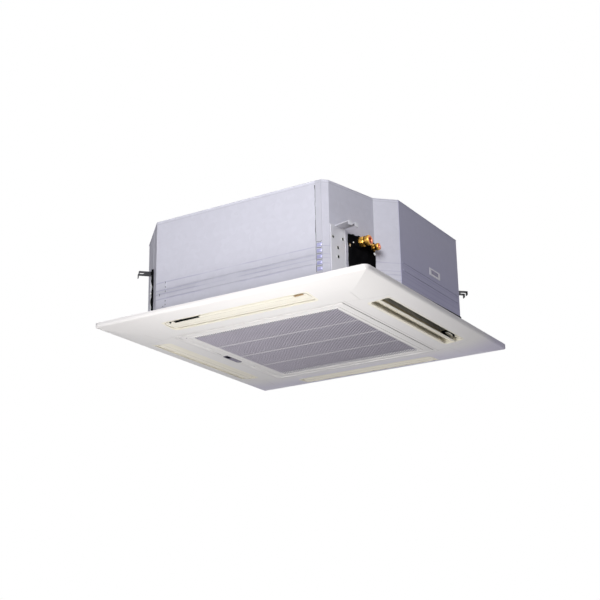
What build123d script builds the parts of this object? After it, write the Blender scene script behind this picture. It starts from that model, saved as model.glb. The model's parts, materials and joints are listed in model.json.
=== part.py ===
from build123d import *
import os
from math import asin, atan2, cos, degrees, hypot, radians, sin, sqrt

# Ceiling cassette air conditioner. Millimetres, +Z up. Heights in this file are measured from the panel's flat
# underside; each piece is written with the origin in the middle of the four hanger slots, where the rods hold it.
# Front is the -Y side, right is the +X side; the pipes leave at the corner between them.

# ---- panel
panel_width = 950.0
panel_corner_radius = 18.0
panel_skin = 3.0
ceiling_height = 30.0
crown_start = 350.0
crown_radius = 460.0
crown_steps = 9
edge_radius = 10.0
edge_steps = 5
corner_steps = 8
opening_half = 298.0
opening_wall = 3.0
opening_wall_height = 34.0

# ---- body
body_width = 840.0
body_bottom = 46.0
body_height = 290.0
sheet = 1.2
corner_cut = 140.0
far_corner_cut = 180.0
notch_front_x = 307.0
notch_lip_x = 322.0
notch_lip_y = -404.0
notch_valley_x = 364.0
notch_valley_y = -216.0
seam_x = 288.0
bead_height = 3.0
bead_depth = 1.2
front_bead_levels = (86.0, 114.0)
side_bead_levels = (119.0, 143.0)
notch_bead_levels = (82.0, 100.0)
bead_end_gap = 12.0
tab_width = 23.0
tab_x = -264.0
tab_bottom = 54.0
tab_top = 138.0
collar_inset = 8.0
collar_wall = 3.0
gasket_width = 12.0
gasket_height = 6.0
liner_thickness = 20.0
pan_height = 58.0
pan_floor = 26.0
ridge_radius = 30.0

# ---- air outlets and louvres
surround_inner = 350.0
surround_outer = 424.0
mouth_inner = 359.0
mouth_outer = 420.0
mouth_length = 500.0
mouth_corner_radius = 12.0
duct_lip = 7.0
duct_outer = 399.0
duct_wall = 3.0
end_wall = 6.0
flange_height = 2.5
flange_inner = 353.0
outlet_lid = 1.4
louvre_width = 52.0
louvre_thickness = 2.5
louvre_recess = 1.0
louvre_end_gap = 3.0
louvre_axis = 394.5
louvre_axis_height = 40.0
louvre_arm_width = 3.0
louvre_arm_radius = 4.0
louvre_pin_radius = 2.0
louvre_rest_angles = {"right": 30.0, "back": 30.0, "left": 30.0, "front": 4.0}
motor_radius = 12.0
motor_length = 16.0
motor_plate = 2.0
motor_shaft_offset = 9.5
bush_radius = 4.0

# ---- intake grille and filter
grille_gap = 2.0
grille_field_half = 256.0
grille_skin = 3.0
grille_rim_height = 12.0
grille_edge_radius = 5.0
slat_count = 69
slat_width = 3.2
slat_height = 8.0
rib_count = 3
rib_width = 3.0
rib_top = 11.0
filter_half = 262.0
filter_bar = 8.0
filter_thickness = 6.0
mesh_thickness = 0.8
hinge_axis_x = 285.0
hinge_axis_height = 7.0
hinge_pin_radius = 2.0
hinge_spacing = 300.0
knuckle_width = 14.0
hinge_arm_width = 5.0
latch_spacing = 254.0
latch_travel = 7.0
latch_width = 16.0
latch_length = 26.0
latch_thickness = 3.0
latch_reach = 294.0

# ---- receiver
receiver_x = -295.0
receiver_y = 10.0
receiver_length = 92.0
receiver_width = 20.0
receiver_depth = 16.0
receiver_flange = 6.0
window_length = 30.0
window_width = 14.0
button_radius = 2.5
button_seat = 7.0

# ---- fan
throat_radius = 157.0
flare_radius = 48.0
bell_wall = 3.0
shroud_gap = 5.0
impeller_radius = 235.0
impeller_bottom = 138.0
impeller_top = 288.0
impeller_wall = 2.5
blade_count = 7
blade_thickness = 3.0
blade_inner_radius = 125.0
hub_cup_radius = 86.0
hub_cup_depth = 62.0
fan_motor_radius = 72.0
fan_motor_height = 92.0
fan_shaft_radius = 6.0
motor_mount_radius = 9.0
motor_mount_circle = 56.0

# ---- coil
coil_outer = 322.0
coil_thickness = 38.0
coil_corner_radius = 70.0
coil_height = 246.0
coil_end_y = -185.0
coil_end_x = 238.0
end_plate = 1.5
bend_radius = 9.0
bend_tube_radius = 3.5
bend_count = 9

# ---- pipes, measured along the notch face that carries them
gas_pipe_y = -293.0
gas_pipe_height = 172.0
gas_pipe_radius = 7.94
liquid_pipe_y = -243.0
liquid_pipe_height = 168.0
liquid_pipe_radius = 4.76
pipe_wall = 1.0
nut_clearance = 0.1
sleeve_gap = 0.4
gas_nut_length = 34.0
gas_nut_width = 32.0
liquid_nut_length = 24.0
liquid_nut_width = 21.0
collar_length = 12.0
pipe_plate_height = 124.0
pipe_plate_bottom = 67.0
pipe_plate_half = 56.0
pipe_plate_thickness = 3.0
pipe_screw_height = 155.0

# ---- hangers
hanger_pitch = 744.0
hanger_height = 200.0
hanger_plate_width = 44.0
hanger_plate_height = 140.0
hanger_sheet = 2.5
hanger_slot_width = 13.0
hanger_prong_width = 13.0
hanger_tip = 13.0
hanger_lip = 10.0
plain_hanger_holes = ((-13.0, 35.0, 3.5), (13.0, 35.0, 3.5), (0.0, 64.0, 3.5), (0.0, 91.0, 3.5))
pipe_hanger_left = 40.0
pipe_hanger_right = 21.5
pipe_hanger_holes = (
    (-30.0, 35.0, 4.5),
    (10.0, 33.0, 4.5),
    (-10.3, 64.0, 5.0),
    (-9.3, 91.0, 5.0),
    (17.0, 51.0, 1.5),
)

# ---- drain
pump_radius = 18.0
pump_height = 70.0
pump_reach = 448.0
pump_side = 45.0
spout_radius = 16.0
spout_neck_radius = 14.0
spout_wall = 2.5
spout_length = 36.0
spout_height = 262.0
float_radius = 9.0
float_stem_height = 78.0
pump_elbow = 18.0
channel_width = 16.0

# ---- electric box, under the bell mouth along the front side
box_x0 = -235.0
box_x1 = 175.0
box_depth = 74.0
box_height = 52.0
box_wall = 2.0
board_end = 60.0
board_drop = 12.0
board_thickness = 1.6
board_margin = 6.0
board_parts = ((-190.0, 16.0), (-140.0, 22.0), (-84.0, 18.0), (-20.0, 24.0))
board_parts_inset = 32.0
terminal_start = 80.0
terminal_pitch = 14.0
terminal_count = 6
terminal_depth = 28.0
terminal_height = 20.0

# ---- clearances
running = 0.06
slide_gap = 0.3
fit_gap = 0.4
screw_clearance = 0.2

body_half = body_width / 2
body_top = body_bottom + body_height
plate_top = body_top - sheet
pan_top = body_bottom + pan_height
grille_half = opening_half - grille_gap
coil_bottom = body_bottom + pan_floor
coil_inner = coil_outer - coil_thickness
duct_inner = surround_inner - duct_lip
louvre_middle = (mouth_inner + mouth_outer) / 2
mouth_half = mouth_length / 2
sides = {"right": 0, "back": 90, "left": 180, "front": 270}


# ---------------------------------------------------------------- helpers


def block(x0, x1, y0, y1, z0, z1):
    """Box between two corners."""
    centre = Pos((x0 + x1) / 2, (y0 + y1) / 2, (z0 + z1) / 2)
    return centre * Box(abs(x1 - x0), abs(y1 - y0), abs(z1 - z0))


def prism(points, z0, z1):
    """Upright prism over a plan outline."""
    face = make_face(Polyline(*[(x, y, 0) for x, y in points], close=True))
    return Pos(0, 0, z0) * extrude(face, z1 - z0, dir=(0, 0, 1))


def along_y(points, y0, y1):
    """Prism whose cross-section, given as (x, z), runs along Y."""
    face = make_face(Polyline(*[(x, 0, z) for x, z in points], close=True))
    return Pos(0, y0, 0) * extrude(face, y1 - y0, dir=(0, 1, 0))


def post(radius, x, y, z0, z1):
    """Upright cylinder."""
    return Pos(x, y, (z0 + z1) / 2) * Cylinder(radius, z1 - z0)


def rod_y(radius, x, z, y0, y1):
    """Cylinder along Y."""
    return Pos(x, (y0 + y1) / 2, z) * Rot(90, 0, 0) * Cylinder(radius, y1 - y0)


def square_ring(outer, inner, z0, z1):
    """Upright square tube given by its two half widths."""
    solid = block(-outer, outer, -outer, outer, z0, z1)
    return solid - block(-inner, inner, -inner, inner, z0 - 1, z1 + 1)


def rounded_corner(x, y, radius, quarter):
    """Points of one round corner with its centre at x, y; quarter 0 lies towards +X +Y."""
    points = []
    for step in range(corner_steps + 1):
        angle = radians(90 * (quarter + step / corner_steps))
        points.append((x + radius * cos(angle), y + radius * sin(angle)))
    return points


def rounded_box(x0, x1, half, radius, z0, z1):
    """Upright prism over a rectangle from x0 to x1 whose corners are rounded in short flats."""
    left = x0 + radius
    right = x1 - radius
    reach = half - radius
    points = rounded_corner(right, reach, radius, 0) + rounded_corner(left, reach, radius, 1)
    points += rounded_corner(left, -reach, radius, 2) + rounded_corner(right, -reach, radius, 3)
    return prism(points, z0, z1)


def rounded_square(half, radius, z0, z1):
    """Upright prism over a square with round corners."""
    return rounded_box(-half, half, half, radius, z0, z1)


def turned(solid, angle):
    """The same piece turned about the middle of the unit."""
    return Rot(0, 0, angle) * solid


def spun(points, angle=360):
    """Solid of revolution about Z of a closed outline given as (radius, height)."""
    face = make_face(Polyline(*[(r, 0, z) for r, z in points], close=True))
    return revolve(face, Axis.Z, angle)


def on_face(solid, x, y, angle):
    """Moves a piece built at the origin, facing +X, to a wall point whose outward direction is angle."""
    return Pos(x, y, 0) * Rot(0, 0, angle) * solid


def save(solid, name):
    """Writes one node, moved so that the hangers' arms lie at height zero."""
    export_step(Pos(0, 0, -hanger_height) * solid, f"parts/{name}.step")


# ---------------------------------------------------------------- outlines


def notch_right_y():
    """Where the 45 degree notch face reaches the right side."""
    return notch_valley_y + (body_half - notch_valley_x)


def outline_points():
    """Plan outline of the casing, anticlockwise from the front left."""
    edge = body_half
    return [
        (-edge + corner_cut, -edge),
        (notch_front_x, -edge),
        (notch_lip_x, notch_lip_y),
        (notch_valley_x, notch_valley_y),
        (edge, notch_right_y()),
        (edge, edge - far_corner_cut),
        (edge - far_corner_cut, edge),
        (-edge + corner_cut, edge),
        (-edge, edge - corner_cut),
        (-edge, -edge + corner_cut),
    ]


def outline(inset, z0, z1):
    """Upright prism over the casing outline moved inwards by inset."""
    face = make_face(Polyline(*[(x, y, 0) for x, y in outline_points()], close=True))
    if inset > 0:
        face = offset(face, amount=-inset, kind=Kind.INTERSECTION)
    return Pos(0, 0, z0) * extrude(face, z1 - z0, dir=(0, 0, 1))


def crown_z(reach):
    """Height of the panel's underside at a distance from the middle line."""
    run = max(0.0, reach - crown_start)
    return crown_radius - sqrt(crown_radius**2 - run**2)


def arc_points(x, z, radius, start, end, steps):
    """Points of an arc about x, z; the angles are in degrees from straight down towards +X."""
    angles = [radians(start + (end - start) * step / steps) for step in range(steps + 1)]
    return [(x + radius * sin(angle), z - radius * cos(angle)) for angle in angles]


def crown_section(inset, top):
    """Solid along Y whose underside is the crown and its rounded rim, in short flats, moved inwards by inset."""
    half = panel_width / 2 - inset
    edge_x = panel_width / 2 - edge_radius
    turn = asin((edge_x - crown_start) / (crown_radius - edge_radius))
    edge_z = crown_radius - (crown_radius - edge_radius) * cos(turn)
    meet = degrees(turn)
    rise = arc_points(crown_start, crown_radius, crown_radius - inset, 0, meet, crown_steps)
    rise += arc_points(edge_x, edge_z, edge_radius - inset, meet, 90, edge_steps)[1:]
    fall = [(-x, z) for x, z in reversed(rise)]
    return along_y(rise + [(half, top), (-half, top)] + fall, -half, half)


def crown(inset, top):
    """Panel solid between its crowned underside, moved inwards by inset, and a flat top."""
    section = crown_section(inset, top)
    half = panel_width / 2 - inset
    return section & turned(section, 90) & rounded_square(half, panel_corner_radius - inset, -1, top + 1)


# ---------------------------------------------------------------- panel


def outlet_outer(grow):
    """Outside of one outlet surround on the right side, grown by a clearance."""
    half = mouth_half + end_wall
    top = crown_z(surround_outer + grow) + panel_skin + 1
    face = rounded_box(surround_inner - grow, surround_outer + grow, half + grow, mouth_corner_radius + 4, -2, top)
    low = [(duct_inner - duct_wall - grow, panel_skin), (surround_outer + grow, panel_skin)]
    high = [(duct_outer + duct_wall + grow, body_bottom), (duct_inner - duct_wall - grow, body_bottom)]
    return face + along_y(low + high, -half - grow, half + grow)


def corner_lug(sign_x, sign_y):
    """Lug inside a corner of the intake opening that the panel screw pulls up against the drain pan."""
    far = opening_half + opening_wall
    near = far - 31
    low = opening_wall_height - 10
    lug = block(sign_x * near, sign_x * far, sign_y * near, sign_y * far, low, body_bottom)
    x = sign_x * lug_centre()
    y = sign_y * lug_centre()
    return lug - post(2.5 + screw_clearance, x, y, low - 1, body_bottom + 1)


def lug_centre():
    """Distance of the panel screws from both middle lines."""
    return opening_half - 15


def hinge_arm(y0, y1):
    """Arm that comes down from the opening wall to one end of a hinge pin."""
    clear = grille_skin + 0.6
    reach = hinge_axis_height - clear
    top = opening_wall_height - 4
    arm = block(hinge_axis_x - 6, hinge_axis_x + reach, y0, y1, hinge_axis_height, top)
    arm += block(hinge_axis_x - 6, opening_half + 1, y0, y1, top - 8, top)
    arm += rod_y(reach, hinge_axis_x, hinge_axis_height, y0, y1)
    return arm - rod_y(hinge_pin_radius + 0.03, hinge_axis_x, hinge_axis_height, y0 - 1, y1 + 1)


def hinge_arms():
    """The four arms, a pair at each hinge."""
    arms = []
    for side in (-1, 1):
        middle = side * hinge_spacing / 2
        inner = knuckle_width / 2 + slide_gap
        arms.append(hinge_arm(middle - inner - hinge_arm_width, middle - inner))
        arms.append(hinge_arm(middle + inner, middle + inner + hinge_arm_width))
    return arms


def collar():
    """Upright wall on the panel's corners that follows the casing's outline and carries the gasket."""
    top = body_bottom - gasket_height
    wall = outline(collar_inset, panel_skin - 1, top)
    wall -= outline(collar_inset + collar_wall, panel_skin - 2, top + 1)
    half = mouth_half + end_wall + slide_gap
    for angle in sides.values():
        wall -= turned(block(opening_half, body_half, -half, half, 0, body_bottom), angle)
    return wall


def panel_frame():
    """Crowned frame with rim, intake opening, four outlet openings and hinge arms."""
    frame = rounded_square(panel_width / 2 + 1, panel_corner_radius, -1, ceiling_height)
    frame -= crown(panel_skin, ceiling_height + 1)
    wall = opening_half + opening_wall
    frame += square_ring(wall, opening_half - 0.5, panel_skin - 1, opening_wall_height)
    frame += collar()
    for angle in (45, 135, 225, 315):
        rib = block(opening_half * sqrt(2), panel_width * 0.66, -1.5, 1.5, panel_skin - 0.5, ceiling_height - 6)
        frame += turned(rib, angle)
    frame = frame & crown(0, body_bottom)
    frame -= block(-opening_half, opening_half, -opening_half, opening_half, -5, opening_wall_height + 1)
    for angle in sides.values():
        frame -= turned(outlet_outer(slide_gap), angle)
    for sign_x in (-1, 1):
        for sign_y in (-1, 1):
            frame += corner_lug(sign_x, sign_y)
    for arm in hinge_arms():
        frame += arm
    for sign in (-1, 1):
        y = sign * latch_spacing / 2
        half = latch_width / 2 + 1
        wall_face = -opening_half - opening_wall
        top = grille_skin + latch_thickness + 1
        frame -= block(wall_face - 1, 1 - opening_half, y - half, y + half, grille_skin - 0.5, top)
    return frame - receiver_seat()


def receiver_seat():
    """Cut in the panel's skin and opening wall round the receiver capsule."""
    seat = Pos(receiver_x, receiver_y, 0) * capsule(
        receiver_length + 2 * slide_gap, receiver_width + 2 * slide_gap, -1, receiver_depth + 4
    )
    half = receiver_length / 2 + 4
    inner = 1 - opening_half
    return seat + block(receiver_x - 18, inner, receiver_y - half, receiver_y + half, panel_skin, receiver_depth + 4)


def outlet_frame(lidded):
    """Ivory surround and duct of the right outlet; the lidded one closes the part outside the notched casing."""
    half = mouth_half + end_wall
    rim = crown_z(surround_outer) + panel_skin
    plate = rounded_box(surround_inner, surround_outer, half, mouth_corner_radius + 4, -1, rim)
    plate -= crown_section(panel_skin, rim + 1) & block(flange_inner, body_half, -half, half, 0, rim + 1)
    inner = duct_inner - duct_wall
    shell = along_y(
        [(inner, panel_skin), (surround_outer, panel_skin), (duct_outer + duct_wall, body_bottom), (inner, body_bottom)],
        -half,
        half,
    )
    hollow = along_y(
        [(duct_inner, 1), (mouth_outer, 1), (duct_outer, body_bottom + 1), (duct_inner, body_bottom + 1)],
        -mouth_half,
        mouth_half,
    )
    frame = shell - hollow + plate
    frame += block(inner, flange_inner, -half, half, panel_skin, panel_skin + flange_height)
    frame -= rounded_box(mouth_inner, mouth_outer, mouth_half, mouth_corner_radius, -2, rim + 1)
    frame = frame & crown(0, body_bottom)
    if lidded:
        lid_end = notch_right_y() + 1
        frame += block(inner, duct_outer + 1, 1 - half, lid_end, body_bottom - outlet_lid, body_bottom)
    hole = rod_y(bush_radius + 0.05, louvre_axis, louvre_axis_height, -half - 2, half + 2)
    return frame - hole


def louvre_profile():
    """Cross-section of the closed flap: a band parallel to the crown."""
    inner = louvre_middle - louvre_width / 2
    outer = louvre_middle + louvre_width / 2
    edges = []
    for lift in (louvre_recess, louvre_recess + louvre_thickness):
        edges.append(
            ThreePointArc(
                (inner, 0, crown_z(inner) + lift),
                (louvre_middle, 0, crown_z(louvre_middle) + lift),
                (outer, 0, crown_z(outer) + lift),
            )
        )
    for reach in (inner, outer):
        low = crown_z(reach) + louvre_recess
        edges.append(Line((reach, 0, low), (reach, 0, low + louvre_thickness)))
    return make_face(edges)


def louvre_arm(y0, y1):
    """Tapered arm from the flap up to the pivot."""
    low = crown_z(louvre_axis) + louvre_recess + 1
    foot = 2.5 * louvre_arm_radius
    points = [(louvre_axis - foot, low), (louvre_axis + foot, low + 1)]
    top = louvre_axis_height
    points += [(louvre_axis + louvre_arm_radius, top), (louvre_axis - louvre_arm_radius, top)]
    return along_y(points, y0, y1) + rod_y(louvre_arm_radius, louvre_axis, top, y0, y1)


def louvre(angle):
    """Flap of the right outlet with end arms and pivot pins, opened by an angle."""
    half = mouth_half - louvre_end_gap
    near = half - louvre_arm_width
    flap = Pos(0, -half, 0) * extrude(louvre_profile(), 2 * half, dir=(0, 1, 0))
    flap += louvre_arm(near, half)
    flap += louvre_arm(-half, -near)
    motor_end = mouth_half + end_wall + motor_plate + 4
    flap += rod_y(louvre_pin_radius, louvre_axis, louvre_axis_height, near, motor_end)
    flap += rod_y(louvre_pin_radius, louvre_axis, louvre_axis_height, -mouth_half - end_wall + 0.5, -near)
    return flap.rotate(Axis((louvre_axis, 0, louvre_axis_height), (0, 1, 0)), angle)


def louvre_motor():
    """Stepper motor at one end of the right outlet, below the pivot line, with its bearing nose."""
    face = mouth_half + end_wall
    centre_z = louvre_axis_height - motor_shaft_offset
    motor = block(
        louvre_axis - motor_radius,
        louvre_axis + motor_radius,
        face,
        face + motor_plate,
        centre_z - motor_radius,
        louvre_axis_height + 2,
    )
    motor += rod_y(motor_radius, louvre_axis, centre_z, face + motor_plate, face + motor_length)
    bore = rod_y(louvre_pin_radius + running, louvre_axis, louvre_axis_height, face - 1, face + motor_plate + 5)
    return motor + rod_y(bush_radius, louvre_axis, louvre_axis_height, face, face + 7) - bore


def louvre_bushes():
    """A bush in each end wall of each surround."""
    bushes = []
    for angle in sides.values():
        for y0 in (-mouth_half - end_wall, mouth_half):
            y1 = y0 + end_wall
            bush = rod_y(bush_radius, louvre_axis, louvre_axis_height, y0, y1)
            bush -= rod_y(louvre_pin_radius + running, louvre_axis, louvre_axis_height, y0 - 1, y1 + 1)
            bushes.append(turned(bush, angle))
    return Compound(bushes)


# ---------------------------------------------------------------- grille


def slats():
    """Bars along Y that fill the field."""
    pitch = 2 * grille_field_half / slat_count
    bars = []
    for index in range(slat_count):
        x = -grille_field_half + (index + 0.5) * pitch
        bars.append(
            block(
                x - slat_width / 2,
                x + slat_width / 2,
                -grille_field_half - 1,
                grille_field_half + 1,
                0,
                slat_height,
            )
        )
    return bars


def grille_ribs():
    """Ribs along X behind the slats."""
    pitch = 2 * grille_field_half / (rib_count + 1)
    ribs = []
    for index in range(rib_count):
        y = -grille_field_half + (index + 1) * pitch
        reach = grille_field_half + 1
        ribs.append(block(-reach, reach, y - rib_width / 2, y + rib_width / 2, slat_height - 3, rib_top))
    return ribs


def hinge_knuckle(y):
    """Grille knuckle round one hinge pin."""
    knuckle = block(
        hinge_axis_x - 5,
        hinge_axis_x + 5,
        y - knuckle_width / 2,
        y + knuckle_width / 2,
        grille_skin - 0.5,
        hinge_axis_height + 5,
    )
    bore = rod_y(hinge_pin_radius + running, hinge_axis_x, hinge_axis_height, y - 30, y + 30)
    return knuckle - bore


def latch_rails(y):
    """Two rails that guide a latch on the grille's left border."""
    outer = latch_width / 2 + slide_gap
    rails = block(-292, -264, y - outer - 3, y - outer, grille_skin - 0.5, grille_skin + 4)
    return rails + block(-292, -264, y + outer, y + outer + 3, grille_skin - 0.5, grille_skin + 4)


def intake_grille():
    """Grille with border, rim, slats, ribs, hinge knuckles and latch rails."""
    border = rounded_square(grille_half, 4, 0, grille_skin)
    border -= block(
        -grille_field_half, grille_field_half, -grille_field_half, grille_field_half, -1, grille_skin + 1
    )
    rim = square_ring(grille_half, grille_half - 3, grille_skin - 0.5, grille_rim_height)
    lip = square_ring(grille_field_half + 3, grille_field_half, grille_skin - 0.5, rib_top)
    grille = border + rim + lip
    grille = grille.fuse(*slats(), *grille_ribs())
    edge = along_y(
        [
            (grille_half - grille_edge_radius, -1),
            (grille_half + 1, -1),
            (grille_half + 1, grille_edge_radius),
            (grille_half, grille_edge_radius),
            (grille_half - grille_edge_radius * 0.29, grille_edge_radius * 0.29),
            (grille_half - grille_edge_radius, 0),
        ],
        -grille_half - 1,
        grille_half + 1,
    )
    grille -= edge
    for side in (-1, 1):
        y = side * hinge_spacing / 2
        reach = knuckle_width / 2 + hinge_arm_width + 2
        grille -= block(
            grille_half - 5, grille_half + 1, y - reach, y + reach, grille_skin, grille_rim_height + 1
        )
        grille += hinge_knuckle(y)
    for side in (-1, 1):
        y = side * latch_spacing / 2
        grille += latch_rails(y)
        half = latch_width / 2 + 1
        grille -= block(-grille_half - 1, -grille_half + 4, y - half, y + half, grille_skin, grille_skin + 5)
        grille -= block(-290, -274, y - 3, y + 3, -1, grille_skin + 0.5)
    notch = receiver_width / 2 + slide_gap * 3
    half = receiver_length / 2 + slide_gap * 3
    grille -= block(
        -grille_half - 1,
        receiver_x + notch,
        receiver_y - half,
        receiver_y + half,
        -1,
        grille_rim_height + 1,
    )
    return grille


def grille_latch(y):
    """Sliding latch, stored drawn back, with its finger tick through the border."""
    half = latch_width / 2
    latch = block(-latch_reach, latch_length - latch_reach, y - half, y + half, grille_skin, grille_skin + latch_thickness)
    return latch + block(-281, -275.5, y - 2.5, y + 2.5, 0.4, grille_skin + 1)


def filter_frame():
    """Square frame with two cross bars, lying on the grille's ribs."""
    z0 = rib_top
    frame = square_ring(filter_half, filter_half - filter_bar, z0, z0 + filter_thickness)
    bar = filter_bar / 2
    reach = filter_half - 1
    frame += block(-reach, reach, -bar, bar, z0, z0 + filter_thickness)
    frame += block(-bar, bar, -reach, reach, z0, z0 + filter_thickness)
    groove = filter_half - filter_bar + 3
    middle = z0 + filter_thickness / 2
    return frame - block(-groove, groove, -groove, groove, middle, middle + mesh_thickness)


def filter_mesh():
    """Fine net sheet in the frame's groove."""
    reach = filter_half - filter_bar + 3
    middle = rib_top + filter_thickness / 2
    return block(-reach, reach, -reach, reach, middle, middle + mesh_thickness)


def hinge_pins():
    """The two grille hinge pins."""
    pins = []
    for side in (-1, 1):
        y = side * hinge_spacing / 2
        reach = knuckle_width / 2 + slide_gap + hinge_arm_width
        pins.append(rod_y(hinge_pin_radius, hinge_axis_x, hinge_axis_height, y - reach, y + reach))
    return Compound(pins)


# ---------------------------------------------------------------- receiver


def capsule(length, width, z0, z1):
    """Upright prism over a slot shape whose long way is Y."""
    return Pos(0, 0, z0) * extrude(Rot(0, 0, 90) * SlotOverall(length, width), z1 - z0, dir=(0, 0, 1))


def window_y():
    """Middle of the dark window at the front end of the capsule."""
    return receiver_y - receiver_length / 2 + 4 + window_length / 2


def button_y():
    """Middle of the button at the back end of the capsule."""
    return receiver_y + receiver_length / 2 - 14


def receiver_housing():
    """Capsule housing with a window pocket, a button hole and a flange on the panel's skin."""
    half = receiver_length / 2
    housing = Pos(receiver_x, receiver_y, 0) * capsule(receiver_length, receiver_width, 0, receiver_depth)
    y0 = receiver_y - half + 12
    y1 = receiver_y + half - 12
    housing += block(receiver_x - 16, receiver_x, y0, y1, panel_skin, receiver_flange)
    pocket = capsule(window_length + 2 * fit_gap, window_width + 2 * fit_gap, -1, 4)
    housing -= Pos(receiver_x, window_y(), 0) * pocket
    housing -= block(receiver_x - 6, receiver_x + 6, y0, y1 + 6, button_seat, receiver_depth + 1)
    return housing - post(button_radius + 0.2, receiver_x, button_y(), -1, receiver_depth)


def receiver_window():
    """Dark lens in its pocket."""
    lens = capsule(window_length, window_width, 0.2, 4)
    return Pos(receiver_x, window_y(), 0) * lens


def receiver_board():
    """Circuit board on the back of the receiver housing."""
    half = receiver_length / 2
    z0 = receiver_depth
    return block(receiver_x - 9, receiver_x + 9, receiver_y - half + 6, receiver_y + half - 4, z0, z0 + 1.6)


def manual_button():
    """Small button that travels up into the capsule."""
    button = post(button_radius, receiver_x, button_y(), 0.3, button_seat + 5)
    return button + post(button_radius + 1.5, receiver_x, button_y(), button_seat, button_seat + 1.5)


# ---------------------------------------------------------------- casing


def casing_ring():
    """Folded sheet wall all the way round, with screw holes."""
    ring = outline(0, body_bottom, plate_top) - outline(sheet, body_bottom - 1, plate_top + 1)
    for name, place in zip(hanger_names, hanger_faces()):
        if name != pipe_side_hanger:
            for across, down, radius in plain_hanger_holes[2:]:
                hole = Pos(0, across, hanger_height - down) * Rot(0, 90, 0) * Cylinder(radius - 0.3, 6)
                ring -= on_face(hole, *place)
    for across in (4 - pipe_plate_half, pipe_plate_half - 4):
        hole = Pos(0, across, pipe_screw_height) * Rot(0, 90, 0) * Cylinder(2.0 + screw_clearance, 6)
        ring -= on_face(hole, *pipe_face())
    return ring


def bead(start, end, level):
    """One outward press bead on the wall between two corners of the outline."""
    run = hypot(end[0] - start[0], end[1] - start[1])
    direction = degrees(atan2(end[1] - start[1], end[0] - start[0]))
    half = bead_height / 2
    ridge = block(bead_end_gap, run - bead_end_gap, -bead_depth, sheet / 2, level - half, level + half)
    return Pos(start[0], start[1], 0) * Rot(0, 0, direction) * ridge


def beads():
    """Press beads on the straight sides and on the short notch face."""
    points = outline_points()
    seam = (seam_x, -body_half)
    rows = [
        (points[0], seam, front_bead_levels),
        (points[3], points[4], notch_bead_levels),
        (points[4], points[5], side_bead_levels),
        (points[6], points[7], side_bead_levels),
        (points[8], points[9], front_bead_levels),
    ]
    return [bead(start, end, level) for start, end, levels in rows for level in levels]


def casing():
    """The wall with its beads and the raised strips at the front seams, before it is divided."""
    wall = casing_ring()
    for ridge in beads():
        wall += ridge
    front = -body_half
    wall += block(tab_x, tab_x + tab_width, front - bead_depth, front + sheet / 2, tab_bottom, tab_top)
    wall += block(seam_x, notch_front_x, front - bead_depth, front + sheet / 2, body_bottom, plate_top)
    return wall - on_face(pipe_seat(), *pipe_face())


def sector(points):
    """Tall prism used to divide the casing wall."""
    return prism(points, body_bottom - 2, body_top)


def plate_sectors():
    """Plan region of each casing plate."""
    edge = body_half + 20
    left_mid = body_half - corner_cut / 2
    far_mid = body_half - far_corner_cut / 2
    seam = corner_seam()
    front_left = (-left_mid + seam, -left_mid - seam)
    right_y = notch_right_y()
    out = 120
    front = [
        (front_left[0] + out, front_left[1] + out),
        (front_left[0] - out, front_left[1] - out),
        (seam_x, -edge),
        (seam_x, -left_mid),
    ]
    notch = [
        (seam_x, -edge),
        (edge, -edge),
        (edge, right_y),
        (notch_valley_x - 40, right_y),
        (seam_x, -body_half + 60),
    ]
    right = [
        (body_half - 60, right_y),
        (edge, right_y),
        (edge, far_mid + 20),
        (far_mid + out, far_mid + out),
        (far_mid - out, far_mid - out),
    ]
    back = [
        (far_mid - out, far_mid - out),
        (far_mid + out, far_mid + out),
        (-left_mid - out, left_mid + out),
        (-left_mid + out, left_mid - out),
    ]
    left = [
        (-left_mid + out, left_mid - out),
        (-left_mid - out, left_mid + out),
        (front_left[0] - 5 - out, front_left[1] + 5 - out),
        (front_left[0] - 5 + out, front_left[1] + 5 + out),
    ]
    return {"front": front, "notch": notch, "right": right, "back": back, "left": left}


def corner_seam():
    """How far the open seam lies from the middle of the front left corner, along X."""
    return (hanger_plate_width / 2 + 8) / sqrt(2)


def top_plate():
    """Flat lid."""
    return outline(0, plate_top, body_top)


def wall_liner():
    """Foam lining inside the casing, from the drain pan to the lid."""
    liner = outline(sheet, pan_top, plate_top) - outline(sheet + liner_thickness, pan_top - 1, plate_top + 1)
    for y, z, radius in pipe_rows():
        x = notch_x(y)
        liner -= Pos(x, y, z) * Rot(0, 90, 0) * Cylinder(radius + 6, 120)
    liner -= spout_hole()
    return liner


def sumps():
    """Pits in the pan for the drain pump and for the float, joined by a channel."""
    low = body_bottom + pan_floor
    pump_x, pump_y = pump_place()
    float_x, float_y = float_place()
    pits = post(pump_radius + 4, pump_x, pump_y, low, pan_top + 1)
    pits += post(float_radius + 4, float_x, float_y, low, pan_top + 1)
    half = channel_width / 2
    pits += block(pump_x, float_x + half, pump_y - half, pump_y + half, low, pan_top + 1)
    return pits + block(float_x - half, float_x + half, pump_y, float_y, low, pan_top + 1)


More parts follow.
